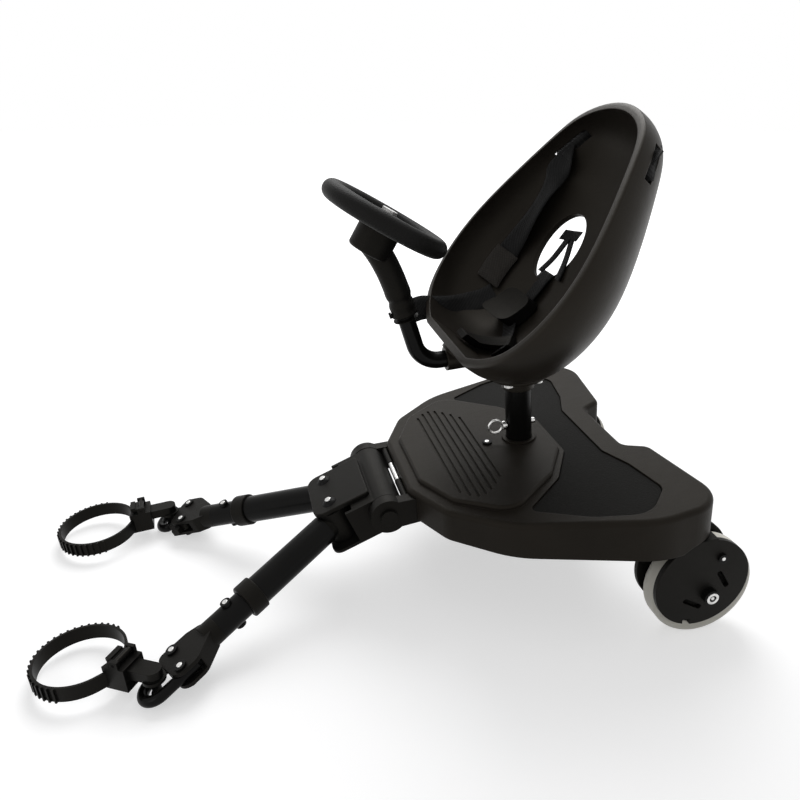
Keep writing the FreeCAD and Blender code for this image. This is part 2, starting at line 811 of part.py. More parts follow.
reach = S.seat_r + 20
slot_low = (206, -14)
slot_high = (236, -5)
boss = upright_rod(29, 36, (0, 0, seat_boss_z))
boss_holes = [upright_rod(3, 8, (x, y, seat_boss_z)) for x, y in bolt_spots]
hole_turn = math.radians(S.flank_hole_turn)
flank_holes = []
for side in (-1, 1):
    centre = Vector(S.flank_hole_x, side * S.flank_hole_y, 0)
    along = Vector(math.cos(hole_turn), -side * math.sin(hole_turn), 0)
    end = centre + along * float(S.flank_hole_length / 2)
    flank = centre + Z.cross(along) * float(S.flank_hole_width / 2)
    flank_holes.append(plate([Part.Ellipse(end, flank, centre)], reach, (0, 0, -reach)))
slot_foot = (slot_low[0], -reach, unpressed(slot_low[1]))
strap_slots = box(slot_foot, (slot_high[0], reach, unpressed(slot_high[1])))
rim_height = unpressed(S.seat_rim_rise)
above_rim = box((-20, -reach, rim_height), (S.seat_length + 20, reach, 2 * S.seat_r))
bowl = cut(cut(fuse(egg(0), boss), above_rim), egg(float(S.seat_wall)))
rim_level = level(float(rim_height))


def outer_rim(edge):
    """The long curved edges where the outside of the bowl meets the rim plane."""
    return rim_level(edge) and edge.BoundBox.XMin < 1 and edge.BoundBox.XLength > 1


rounded_bowl = rounded_edges(bowl, S.seat_wall * 0.55, outer_rim)
shell = cut(rounded_bowl, strap_slots, *flank_holes, *boss_holes)
piece("seat_shell", flattened(shell), SEAT)

# Harness: webbing that lies against the inside of the bowl, cut from thin egg-shaped layers.
web_gap = 0.5
lining = float(S.seat_wall) + web_gap
web_top = lining + float(S.strap_thick)


def strip(start, end, width, low=-200, high=-16):
    """An upright prism over a straight run of webbing, seen square to the rim, between two heights."""
    first = Vector(start[0], start[1], 0)
    last = Vector(end[0], end[1], 0)
    aside = unit(last - first).cross(Z) * (float(width) / 2)
    corners = [first + aside, last + aside, last - aside, first - aside]
    outline = rounded([(point.x, point.y, 0) for point in corners])
    return plate(outline, unpressed(high - low), (0, 0, unpressed(low)))


def band_in(low, high, cover):
    """What a prism takes out of a layer between two depths of the round egg."""
    return overlap(cut(egg(low), egg(high)), cover)


def layer(low, high, cover):
    """The same, pressed flat with the seat."""
    return flattened(band_in(low, high, cover))


def wall_strip(points, width, side):
    """A prism across the seat, over a bent run of webbing drawn as (x, z) on the bowl's flank."""
    spots = [Vector(x, z, 0) for x, z in points]
    steps = [unit(ahead - behind) for behind, ahead in zip(spots, spots[1:])]
    normals = [unit(before + after).cross(Z) for before, after in zip(steps[:1] + steps, steps + steps[-1:])]
    upper = [spot + normal * (float(width) / 2) for spot, normal in zip(spots, normals)]
    lower = [spot - normal * (float(width) / 2) for spot, normal in zip(spots, normals)]
    outline = rounded([(point.x, unpressed(point.y), 0) for point in upper + lower[::-1]])
    depth = reach - flank_clear
    return plate(outline, depth, (0, reach if side > 0 else -flank_clear, 0), STAND)


flank_clear = 20
slope_width = 14
shoulder_run = [(222, -10), (173, -29), (120, -40), (80, -41)]
pad_run = [(106, -41), (66, -41)]
tail_low = -web_gap - float(S.strap_thick)
pad_thick = 9
buckle_thick = 17
adjuster_thick = 7
over_web = web_top + web_gap
shoulder_straps = []
shoulder_pads = []
for side in (-1, 1):
    tail_run = strip((222, side * 90), (222, side * 52), S.strap_width, low=-60, high=-6)
    throat_low = (slot_low[0] + 2.5, flank_clear if side > 0 else -reach, unpressed(slot_low[1] + 3))
    throat_high = (slot_high[0] - 2.5, reach if side > 0 else -flank_clear, unpressed(slot_high[1] - 3))
    inside = band_in(lining, web_top, wall_strip(shoulder_run, slope_width, side))
    tail = band_in(tail_low, -web_gap, tail_run)
    throat = band_in(tail_low, web_top, box(throat_low, throat_high))
    shoulder_straps.append(flattened(fuse(inside, tail, throat)))
    shoulder_pads.append(layer(over_web, over_web + pad_thick, wall_strip(pad_run, slope_width, side)))
piece("shoulder_straps", group(shoulder_straps), SEAT)
piece("shoulder_pads", group(shoulder_pads), SEAT)
band_run = [(62, -50), (40, -38), (14, -7)]
hip_strap = layer(lining, web_top, strip((118, 62), (70, 62), S.strap_width))
loose_end = layer(lining, web_top, wall_strip(band_run, slope_width, 1))
near_strap = layer(lining, web_top, strip((118, -62), (60, -62), S.strap_width))
piece("waist_straps", group([hip_strap, loose_end, near_strap]), SEAT)
piece("crotch_strap", layer(lining, web_top, strip((12, 8), (48, 58), S.strap_width)), SEAT)
buckle_form = [(44, 40, 9), (80, 40, 9), (80, 72, 9), (44, 72, 9)]
buckle_cover = plate(rounded(buckle_form), 150, (0, 0, -160))
piece("harness_buckle", layer(over_web, over_web + buckle_thick, buckle_cover), SEAT)
adjuster_runs = [((92, -62), (80, -62)), ((17, 18), (26, 33))]
adjuster_width = 34
adjusters = []
for start, end in adjuster_runs:
    adjusters.append(layer(over_web, over_web + adjuster_thick, strip(start, end, adjuster_width)))
piece("strap_adjusters", group(adjusters), SEAT)

# Steering column: a socket on the seat front, a bent tube, a curved neck with a head, and the wheel.
column_r = S.column_d / 2
sleeve_front = 72.4
lean = math.radians(S.column_lean)
up_column = Vector(-math.sin(lean), 0, math.cos(lean))
corner = Vector(-S.column_corner_x, 0, S.column_z)
bend_turn = math.pi / 2 - lean
bend_run = S.column_bend * math.tan(bend_turn / 2)
bend_start = corner + X * float(bend_run)
bend_end = corner + up_column * float(bend_run)
tube_start = Vector(-66, 0, S.column_z)
tube_end = corner + up_column * 78
bend_pull = unit(X + up_column)
bend_crown = corner + bend_pull * float(S.column_bend / math.cos(bend_turn / 2) - S.column_bend)


def on_paper(point):
    """A point of the X-Z plane as drawn flat."""
    return Vector(point.x, point.z, 0)


sleeve = rod(column_r + 3.5, 30, (-sleeve_front, 0, S.column_z), ALONG_X)
seat_flange = rod(19, 4, (-4, 0, -14), ALONG_X)
seat_flange.Placement = SEAT_IN_DECK.multiply(seat_flange.Placement)
behind = box((0, -60, -80), (80, 60, 80))
behind.Placement = SEAT_IN_DECK.multiply(behind.Placement)
sleeve_bore = rod(column_r, sleeve_front + 10 + tube_start.x, (-sleeve_front - 10, 0, S.column_z), ALONG_X)
piece("column_socket", cut(fuse(sleeve, seat_flange), behind, sleeve_bore), DECK)

column_path = [
    Part.LineSegment(on_paper(tube_start), on_paper(bend_start)),
    Part.ArcOfCircle(on_paper(bend_start), on_paper(bend_crown), on_paper(bend_end)),
    Part.LineSegment(on_paper(bend_end), on_paper(tube_end)),
]
tube_face = (tube_start.x, 0, tube_start.z)
column_skin = sweep(column_r, column_path, tube_face, ALONG_X)
column_bore = sweep(column_r - 1.5, column_path, tube_face, ALONG_X)
piece("column_tube", cut(column_skin, column_bore), DECK)

neck_foot = corner + up_column * 47
neck_top = RING_IN_DECK.multVec(Vector(0, 0, -24))
neck_points = [neck_foot, corner + up_column * 70, Vector(-120.5, 0, 200), neck_top]
neck_curve = Part.BSplineCurve()
neck_curve.interpolate(Points=[on_paper(point) for point in neck_points])
up_turn = Rotation(Y, -S.column_lean)
neck = sweep(S.neck_d / 2, [neck_curve], neck_foot, up_turn)
ring_tube_r = S.ring_tube_d / 2
head_top = ring_tube_r + 0.5
spindle_r = 4
head = rod(19, 24, (0, 0, -head_top - 24))
head.Placement = RING_IN_DECK.multiply(head.Placement)
spindle_hole = rod(spindle_r, 20, (0, 0, -head_top - 12))
spindle_hole.Placement = RING_IN_DECK.multiply(spindle_hole.Placement)
neck_bore = rod(column_r, tube_end.sub(neck_foot).Length + 6, neck_foot - up_column * 5, up_turn)
screw_out = Vector(-math.cos(lean), 0, -math.sin(lean))
screw_turn = Rotation(Z, screw_out)
screw_spot = corner + up_column * 55
neck_face = S.neck_d / 2 + 0.3
screw_r = 1.6
screw_head_r = 3
screw_hole = rod(screw_r + S.running_gap, 20, screw_spot, screw_turn)
screw_seat = rod(screw_head_r + S.free_gap, 12, screw_spot + screw_out * float(neck_face), screw_turn)
head_form = rounded_edges(head, 3, lambda edge: edge.Closed)
piece("steering_neck", cut(fuse(neck, head_form), neck_bore, spindle_hole, screw_hole, screw_seat), DECK)

spindle = fuse(rod(spindle_r, head_top + 12 + 6, (0, 0, -head_top - 12)), rod(spindle_r + 3, 3, (0, 0, 6)))
piece("steering_spindle", spindle, RING)

spokes = []
for turn in (90, 210, 330):
    spoke = box((14, -8, -5), (S.ring_d / 2 - S.ring_tube_d + 4, 8, 3))
    spoke.Placement = Placement(Vector(), Rotation(Z, turn)).multiply(spoke.Placement)
    spokes.append(spoke)
wheel_hub = rod(19, ring_tube_r + 5, (0, 0, -ring_tube_r))
wheel_bore = rod(spindle_r + S.running_gap, 40, (0, 0, -20))
rim = hoop(S.ring_d / 2 - ring_tube_r, ring_tube_r, (0, 0, 0))
piece("steering_wheel", cut(fuse(rim, wheel_hub, *spokes), wheel_bore), RING)

deck_screw = fuse(rod(2.5, 7, (-34, 0, S.island_rise - 7)), rod(5, 2, (-34, 0, S.island_rise)))
screw_start = screw_spot + screw_out * float(column_r + 0.5)
neck_screw = fuse(
    rod(screw_r, neck_face - column_r, screw_start, screw_turn),
    rod(screw_head_r, 2, screw_spot + screw_out * float(neck_face), screw_turn),
)
piece("trim_screws", group([deck_screw, neck_screw]), DECK)

# Yoke: the hinge barrel, a block behind the arm knuckles, a floor below and a riveted cover above.
barrel_half = S.ear_inner - 0.7
cover_low = S.cover_top - S.cover_thick
floor_top = 3 - S.yoke_drop
rivet_r = S.rivet_d / 2
pivots = [(-S.pivot_t, side * S.pivot_half) for side in (-1, 1)]
floor_half = [(-S.yoke_front, barrel_half, 10), (-20, barrel_half, 0)]
floor_form = both_halves(floor_half)
yoke_shapes = [
    rod(S.barrel_r, 2 * barrel_half, (0, -barrel_half, 0), ALONG_Y),
    box((-29, -barrel_half, -S.yoke_drop), (-4, barrel_half, cover_low)),
    plate(rounded(floor_form), floor_top + S.yoke_drop, (0, 0, -S.yoke_drop)),
]
for side in (-1, 1):
    low = barrel_half - S.yoke_wall if side > 0 else -barrel_half
    yoke_shapes.append(box((-36, low, -S.yoke_drop), (-28, low + S.yoke_wall, cover_low)))
yoke_bore = rod(pin_r + S.running_gap, 2 * barrel_half + 2, (0, -barrel_half - 1, 0), ALONG_Y)
floor_holes = [rod(rivet_r, 8, (x, y, -S.yoke_drop - 2)) for x, y in pivots]
piece("yoke_shell", cut(fuse(*yoke_shapes), yoke_bore, *floor_holes), YOKE)

cover_form = both_halves([(-S.yoke_front - 1, S.cover_half, 12), (-8, S.cover_half, 3)])
cover = new_body("YokeCover")
cover_pad = body_pad(cover, rounded(cover_form), S.cover_thick, lift=cover_low)
body_fillet(cover, cover_pad, 1.2, level(float(S.cover_top)))
cover_holes = [rod(rivet_r, S.cover_thick + 4, (x, y, cover_low - 2)) for x, y in pivots]
piece("yoke_cover", cut(cover, *cover_holes), YOKE)

rivets = []
for x, y in pivots:
    shank = rod(rivet_r, S.cover_top + S.yoke_drop, (x, y, -S.yoke_drop))
    above_cover = box((x - 9, y - 9, S.cover_top), (x + 9, y + 9, S.cover_top + 9))
    dome = overlap(ball(9, (x, y, S.cover_top - 5.5)), above_cover)
    foot = rod(rivet_r + 3, 2.5, (x, y, -S.yoke_drop - 2.5))
    rivets.append(fuse(shank, dome, foot))
piece("pivot_rivets", group(rivets), YOKE)

# Arms: a knuckle, a tube with an end collar, and a sliding tube that carries the hook.
arm_r = S.arm_tube_d / 2
arm_bore_r = arm_r - S.arm_tube_wall
inner_r = arm_bore_r - S.running_gap
inner_bore_r = inner_r - 2
knuckle_r = 16
plug_end = 30
collar_r = S.collar_d / 2
collar_end = S.arm_tube_end + S.collar_length - 5
bolt_s = 132
shank_side = S.hook_side + S.hook_ring_r
half_high = S.housing_height / 2
slot_half = half_high - 3.5
gate_pivot = (190, -8)
hook_rivet = (194, shank_side)
gate_high = 3.5
gate_end = 209.8
tip_turn = 100


def across(side, low, high):
    """The Y span of a span measured outwards from the arm's middle line."""
    return (low, high) if side < 0 else (-high, -low)


def at_side(side, outwards):
    return -side * outwards


for name, side in SIDES.items():
    frame = arm_frame(side)
    barrel = rod(knuckle_r, cover_low - floor_top - 0.6, (0, 0, floor_top + 0.3))
    plug = rod(arm_bore_r, plug_end, (0, 0, 0), ALONG_X)
    knuckle_bore = rod(rivet_r + S.running_gap, 60, (0, 0, -30))
    piece(f"arm_knuckle_{name}", cut(fuse(barrel, plug), knuckle_bore), frame)

    tube = cut(
        rod(arm_r, S.arm_tube_end - 17, (17, 0, 0), ALONG_X),
        rod(arm_bore_r, S.arm_tube_end + 20, (0, 0, 0), ALONG_X),
    )
    piece(f"arm_tube_{name}", tube, frame)

    collar = new_body("Collar")
    collar_section = [
        (S.arm_tube_end - 5, arm_r, 0),
        (S.arm_tube_end, arm_r, 0),
        (S.arm_tube_end, arm_bore_r, 0),
        (collar_end, arm_bore_r, 0),
        (collar_end, collar_r, 2),
        (S.arm_tube_end - 5, collar_r, 1),
    ]
    body_revolution(collar, rounded(collar_section), "H_Axis")
    piece(f"arm_collar_{name}", collar, frame)

    bolt_hole = rod(2.5, 60, (bolt_s, 0, -30))
    inner = cut(
        rod(inner_r, S.inner_tube_end - 33, (33, 0, 0), ALONG_X),
        rod(inner_bore_r, S.inner_tube_end, (20, 0, 0), ALONG_X),
        bolt_hole,
    )
    piece(f"inner_tube_{name}", inner, frame)

    housing_form = [(157, -9, 6), (172, -14, 8), (204, -14, 7), (204, 26, 11), (180, 26, 14), (157, 9, 6)]
    housing_line = [(s, at_side(side, out), radius) for s, out, radius in housing_form]
    housing = fuse(
        rod(inner_bore_r, S.inner_tube_end - 118, (118, 0, 0), ALONG_X),
        rod(inner_r, 14, (S.inner_tube_end, 0, 0), ALONG_X),
        plate(rounded(housing_line), S.housing_height, (0, 0, -half_high)),
    )
    slot = box((178, -40, -slot_half), (220, 40, slot_half))
    rivet_holes = [rod(3, 60, (s, at_side(side, out), -30)) for s, out in (gate_pivot, hook_rivet)]
    housing_bolt_hole = rod(2.5, 60, (bolt_s, 0, -30))
    piece(f"hook_socket_{name}", cut(housing, slot, housing_bolt_hole, *rivet_holes), frame)

    ring_spot = (S.hook_s, at_side(side, S.hook_side), 0)
    first_turn = -tip_turn if side < 0 else -90
    arc = hoop(S.hook_ring_r, hook_bar_r, ring_spot, Rotation(Z, first_turn), tip_turn + 90)
    tip_angle = math.radians(tip_turn)
    tip_s = S.hook_s + S.hook_ring_r * math.cos(tip_angle)
    tip_out = S.hook_side - S.hook_ring_r * math.sin(tip_angle)
    tip = ball(hook_bar_r, (tip_s, at_side(side, tip_out), 0))
    shank = rod(hook_bar_r, S.hook_s - 182, (182, at_side(side, shank_side), 0), ALONG_X)
    shank_hole = rod(3, 60, (hook_rivet[0], at_side(side, hook_rivet[1]), -30))
    piece(f"hook_{name}", cut(fuse(arc, tip, shank), shank_hole), frame)

    fasteners = [
        fuse(
            rod(2.5, 2 * inner_r + 6, (bolt_s, 0, -inner_r - 3)),
            rod(5, 3, (bolt_s, 0, inner_r)),
            rod(5, 3, (bolt_s, 0, -inner_r - 3)),
        )
    ]
    for s, out in (gate_pivot, hook_rivet):
        y = at_side(side, out)
        fasteners.append(
            fuse(
                rod(3, S.housing_height + 4, (s, y, -half_high - 2)),
                rod(5.5, 2, (s, y, half_high)),
                rod(5.5, 2, (s, y, -half_high - 2)),
            )
        )
    piece(f"hook_fasteners_{name}", group(fasteners), frame)

    low, high = across(side, gate_pivot[1] - 3.5, gate_pivot[1] + 3.5)
    tab_low, tab_high = across(side, -21, gate_pivot[1])
    gate = fuse(
        rod(5, 2 * gate_high, (gate_pivot[0], at_side(side, gate_pivot[1]), -gate_high)),
        box((gate_pivot[0], low, -gate_high), (gate_end, high, gate_high)),
        box((191, tab_low, -gate_high), (200, tab_high, gate_high)),
    )
    gate_bore = rod(3 + S.running_gap, 20, (gate_pivot[0], at_side(side, gate_pivot[1]), -10))
    piece(f"hook_gate_{name}", cut(gate, gate_bore), frame)

# Clamps: a buckle on a stud in each hook, with a toothed band that closes round a pushchair tube.
neck_low = 9.6
body_low = 1.5
body_high = 24
body_front = 41.5
band_low = 4
lever_x = 28
lever_z = 28
saddle_gap = 0.4
tooth_count = 25
lever_end = S.loop_reach - S.loop_r - 0.8


def teardrop(grow):
    """The loop of the band: a large circle and a small one in the buckle, joined by their tangents."""
    big = float(S.loop_r) + grow
    small = 8 + grow
    centre = float(S.loop_reach)
    near = 44.0
    lean_angle = math.acos((big - small) / (centre - near))
    tangent = Vector(-math.cos(lean_angle), math.sin(lean_angle), 0)
    mirror = Vector(tangent.x, -tangent.y, 0)
    big_centre = Vector(centre, 0, 0)
    small_centre = Vector(near, 0, 0)
    return [
        Part.ArcOfCircle(big_centre + tangent * big, big_centre + X * big, big_centre + mirror * big),
        Part.LineSegment(big_centre + mirror * big, small_centre + mirror * small),
        Part.ArcOfCircle(
            small_centre + mirror * small, small_centre - X * small, small_centre + tangent * small
        ),
        Part.LineSegment(small_centre + tangent * small, big_centre + tangent * big),
    ]


def band(clearance):
    """The plain band, or the channel that it runs in where a clearance is given."""
    width = S.band_width + 2 * clearance
    foot = (0, 0, band_low - clearance)
    outer = plate(teardrop(float(S.band_thick) + clearance), width, foot)
    return cut(outer, plate(teardrop(-clearance), width, foot))


clamp_frames = {}
for name, side in SIDES.items():
    ring_centre = arm_frame(side).multVec(Vector(S.hook_s, at_side(side, S.hook_side), 0))
    turn = S.clamp_turn_left if side < 0 else S.clamp_turn_right
    frame = Placement(ring_centre, Rotation(Z, 180 + side * turn).multiply(Rotation(Y, S.clamp_droop)))
    clamp_frames[name] = frame

    stud = fuse(
        rod(4.2, neck_low + 8, (0, 0, -5)),
        ball(5.5, (0, 0, -5)),
        rod(10, 3, (0, 0, neck_low)),
        rod(8, 21 - neck_low - 2, (0, 0, neck_low + 2)),
        box((0, -8, neck_low + 2), (22, 8, 21)),
        box((19, -12.5, body_low), (body_front, 12.5, body_high)),
    )
    saddle = rod(S.loop_r + saddle_gap, 2 * body_high, (S.loop_reach, 0, -body_high / 2))
    lugs = [box((lever_x - 4, y, 20), (lever_x + 4, y + 3.5, lever_z + 3)) for y in (-12.5, 9)]
    lever_bore = rod(1.5 + S.running_gap, 40, (lever_x, -20, lever_z), ALONG_Y)
    piece(f"clamp_buckle_{name}", cut(fuse(stud, *lugs), saddle, band(0.3), lever_bore), frame)

    teeth = []
    tooth_out = S.loop_r + S.band_thick
    for index in range(tooth_count):
        angle = (index - (tooth_count - 1) / 2) * 8.5
        tooth_top = (tooth_out + S.tooth_height, 0.9, band_low + S.band_width)
        tooth = box((tooth_out - 0.4, -0.9, band_low), tooth_top)
        tooth.Placement = Placement(Vector(S.loop_reach, 0, 0), Rotation(Z, angle)).multiply(tooth.Placement)
        teeth.append(tooth)
    piece(f"ladder_strap_{name}", fuse(band(0), *teeth), frame)

    lever = fuse(
        rod(2.8, 17.4, (lever_x, -8.7, lever_z), ALONG_Y),
        rod(1.5, 24, (lever_x, -12, lever_z), ALONG_Y),
        box((lever_x, -8, lever_z - 2.6), (lever_end - 0.5, 8, lever_z + 0.6)),
        box((lever_end - 5, -8, lever_z - 1), (lever_end, 8, lever_z + 2.2)),
    )
    piece(f"pawl_lever_{name}", lever, frame)

# The whole board is moved so that the middle of its foot is the origin.
doc.recompute()
for node, shape in parts.items():
    if shape.Shape.isNull() or shape.Shape.Volume < 1:
        raise RuntimeError(f"{node} is empty")
whole = FreeCAD.BoundBox()
for shape in parts.values():
    whole.add(shape.Shape.optimalBoundingBox(True, False))
shift = Vector(-whole.Center.x, -whole.Center.y, -whole.ZMin)
for shape in parts.values():
    shape.Placement = Placement(shift, FLAT).multiply(shape.Placement)
doc.recompute()

for feature in doc.Objects:
    if "Invalid" in feature.State or "Error" in feature.State:
        raise RuntimeError(f"{feature.Label} did not rebuild")
os.makedirs("parts", exist_ok=True)
for node, shape in parts.items():
    if shape.Shape.isNull() or not shape.Shape.isValid():
        raise RuntimeError(f"{node} is not a sound solid")
    shape.Shape.exportStep(f"parts/{node}.step")


def show(name, point, axis):
    """Prints a joint's point and axis in the finished frame."""
    place = point + shift
    print(name, *(f"{value:.4f}" for value in (place.x, place.y, place.z, axis.x, axis.y, axis.z)))


show("origin", Vector(), Z)
show("hinge", hinge_world, Y)
show("ring", RING.multVec(Vector()), RING.Rotation.multVec(Z))
show("pin", DECK.multVec(Vector(0, 0, S.post_pin_height)), DECK.Rotation.multVec(-X))
for name, side in SIDES.items():
    arm = arm_frame(side)
    show(f"axle_{name}", DECK.multVec(Vector(axle_spot[0], side * S.wheel_half_track, axle_spot[1])), Y)
    show(f"arm_{name}", arm.multVec(Vector()), arm.Rotation.multVec(Z))
    show(f"slide_{name}", arm.multVec(Vector(120, 0, 0)), arm.Rotation.multVec(X))
    gate_spot = Vector(gate_pivot[0], at_side(side, gate_pivot[1]), 0)
    show(f"gate_{name}", arm.multVec(gate_spot), arm.Rotation.multVec(Z))
    clamp = clamp_frames[name]
    show(f"swivel_{name}", clamp.multVec(Vector()), clamp.Rotation.multVec(Z))
    loop_spot = Vector(S.loop_reach, 0, band_low + S.band_width / 2)
    show(f"loop_{name}", clamp.multVec(loop_spot), clamp.Rotation.multVec(Z))
    show(f"pawl_{name}", clamp.multVec(Vector(lever_x, 0, lever_z)), clamp.Rotation.multVec(Y))
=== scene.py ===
# %% [markdown]
# # A buggy board with a bucket seat
# This lesson dresses the CAD model of a buggy board: a two-wheeled standing deck that hooks on behind
# a pushchair, with an egg-shaped seat and a toy steering wheel. The CAD model is loaded first and
# stays as it is. Blender adds what CAD leaves plain: grain, paint, webbing, pads, bright rivet crowns
# and light.

# %% Load the CAD model and keep its box
import math
import bmesh
import bpy
from mathutils import Matrix, Vector
from mathutils.bvhtree import BVHTree


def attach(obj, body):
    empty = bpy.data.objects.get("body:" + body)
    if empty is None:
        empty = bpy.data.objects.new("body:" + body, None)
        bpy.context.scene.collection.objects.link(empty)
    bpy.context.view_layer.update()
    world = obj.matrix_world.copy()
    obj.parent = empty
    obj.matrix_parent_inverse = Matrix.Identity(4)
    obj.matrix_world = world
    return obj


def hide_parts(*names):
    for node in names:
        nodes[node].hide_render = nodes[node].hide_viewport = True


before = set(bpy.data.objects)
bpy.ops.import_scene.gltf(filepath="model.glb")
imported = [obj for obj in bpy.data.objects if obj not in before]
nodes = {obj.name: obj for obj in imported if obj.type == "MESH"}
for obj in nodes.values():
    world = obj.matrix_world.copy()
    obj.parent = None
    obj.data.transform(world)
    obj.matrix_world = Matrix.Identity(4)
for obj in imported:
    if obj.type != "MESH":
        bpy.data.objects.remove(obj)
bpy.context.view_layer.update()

MM = 0.001

# %% [markdown]
# ## Camera
# The photographer stood in front of the near hook, a little above the seat, and looked down at about
# 24 degrees. A camera could be set by hand until it looks right. Here its place and focal length were
# worked out from the straight edges of the deck and the two equal arms, so that the model and the
# photograph share one frame.

# %% Camera
LOOK_DOWN = math.radians(24.44)
LOOK_RIGHT = math.radians(12.82)
CAMERA_SPOT = (-0.11575, -0.6392, 0.4952)
SENSOR_WIDTH = 36
FOCAL_LENGTH = 33.74
look = Vector((
    math.sin(LOOK_RIGHT) * math.cos(LOOK_DOWN),
    math.cos(LOOK_RIGHT) * math.cos(LOOK_DOWN),
    -math.sin(LOOK_DOWN),
))
camera = bpy.data.objects.new("camera", bpy.data.cameras.new("camera"))
bpy.context.scene.collection.objects.link(camera)
camera.location = CAMERA_SPOT
camera.rotation_mode = "QUATERNION"
camera.rotation_quaternion = look.to_track_quat("-Z", "Y")
camera.data.sensor_width = SENSOR_WIDTH
camera.data.lens = FOCAL_LENGTH
bpy.context.scene.camera = camera
bpy.context.scene.view_settings.view_transform = "Standard"
print("camera lens", camera.data.lens)

# %% [markdown]
# ## A small kit for node materials
# A material is a graph of nodes, and each finish below needs the same few moves: add a node, set its
# sockets, link what feeds it. One helper that takes socket values by name keeps every recipe short
# enough to read.

# %% Node helpers
def fill(tree, node, sockets):
    """Gives each named socket of a node its value, or a link where another node feeds it."""
    for socket, value in sockets.items():
        if isinstance(value, bpy.types.NodeSocket):
            tree.links.new(value, node.inputs[socket])
        else:
            node.inputs[socket].default_value = value


def add(tree, kind, sockets=None, **settings):
    """Adds a node, sets its options and fills its sockets."""
    made = tree.nodes.new(kind)
    for option, value in settings.items():
        setattr(made, option, value)
    fill(tree, made, sockets or {})
    return made


def new_finish(name):
    """An empty node material with its shader, ready for a recipe."""
    material = bpy.data.materials.new(name)
    material.use_nodes = True
    tree = material.node_tree
    tree.nodes.clear()
    shader = add(tree, "ShaderNodeBsdfPrincipled")
    add(tree, "ShaderNodeOutputMaterial", {"Surface": shader.outputs["BSDF"]})
    return material, tree, shader


def scaled(tint, share):
    """A tint made lighter or darker."""
    return tuple(share * part for part in tint)


def ramp(tree, factor, low, high, start=0.3, end=0.7):
    """A colour that runs from low to high as the factor rises."""
    made = add(tree, "ShaderNodeValToRGB", {"Fac": factor})
    made.color_ramp.elements[0].position = start
    made.color_ramp.elements[1].position = end
    made.color_ramp.elements[0].color = (*low, 1)
    made.color_ramp.elements[1].color = (*high, 1)
    return made.outputs["Color"]


def span(tree, value, low, high):
    """Maps a 0 to 1 value to a range."""
    sockets = {"Value": value, "To Min": low, "To Max": high}
    return add(tree, "ShaderNodeMapRange", sockets).outputs["Result"]


def product(tree, first, second):
    return add(tree, "ShaderNodeMath", {0: first, 1: second}, operation="MULTIPLY").outputs["Value"]


def either(tree, first, second):
    """The larger of two values, which for yes and no means either of them."""
    return add(tree, "ShaderNodeMath", {0: first, 1: second}, operation="MAXIMUM").outputs["Value"]


print("node helpers ready")

# %% [markdown]
# ## Patterns and bumps
# A pattern needs a place to read from. Object coordinates are the model's own metres, so a grain has
# the same size on every piece. Noise gives clouds, Voronoi gives pebbles, and a bump turns either
# into small relief. A Bevel node rounds the shading of sharp edges, which costs no geometry.

# %% Pattern helpers
def place(tree):
    return add(tree, "ShaderNodeTexCoord").outputs["Object"]


def noise(tree, where, scale, detail, stretch=None):
    """Cloudy noise at a scale in waves per metre, stretched along an axis where wanted."""
    if stretch:
        where = add(tree, "ShaderNodeMapping", {"Vector": where, "Scale": stretch}).outputs["Vector"]
    sockets = {"Vector": where, "Scale": scale, "Detail": detail}
    return add(tree, "ShaderNodeTexNoise", sockets).outputs["Fac"]


def cells(tree, where, scale, feature):
    sockets = {"Vector": where, "Scale": scale}
    return add(tree, "ShaderNodeTexVoronoi", sockets, feature=feature).outputs["Distance"]


def bump(tree, height, depth, strength, under=None):
    """Turns a height into a shading normal; depth is in metres."""
    sockets = {"Height": height, "Distance": depth, "Strength": strength}
    if under is not None:
        sockets["Normal"] = under
    return add(tree, "ShaderNodeBump", sockets).outputs["Normal"]


def soft_edge(tree, radius):
    """The tiny rounding that every moulded or stamped edge has."""
    return add(tree, "ShaderNodeBevel", {"Radius": radius}, samples=6).outputs["Normal"]


print("pattern helpers ready")

# %% [markdown]
# ## Moulded plastics
# The deck, the seat and the hitch are injection mouldings in a warm near-black. Moulding tools are
# spark eroded, so the plastic carries a fine grain, and its gloss drifts a little where it was
# handled. A plain black would do from afar, but the grain is what breaks the highlights up, so each
# moulding gets fine bumps over cloudy gloss.

# %% Moulded plastics
WARM_GLOSS = (1.0, 0.92, 0.78, 1.0)


def moulded(name, low, high, gloss, grain, grain_depth, edge, specular=0.09):
    """Grained plastic: a tint from low to high, gloss as a roughness span, grain in bumps per metre."""
    material, tree, shader = new_finish(name)
    where = place(tree)
    drift = noise(tree, where, scale=14, detail=4)
    scuffs = noise(tree, where, scale=55, detail=6, stretch=(1, 6, 2))
    fine = noise(tree, where, scale=grain, detail=2)
    fill(tree, shader, {
        "Base Color": ramp(tree, drift, low, high),
        "Roughness": span(tree, product(tree, drift, scuffs), *gloss),
        "Normal": bump(tree, fine, grain_depth, strength=0.5, under=soft_edge(tree, edge)),
        "Specular IOR Level": specular,
        "Specular Tint": WARM_GLOSS,
    })
    return material


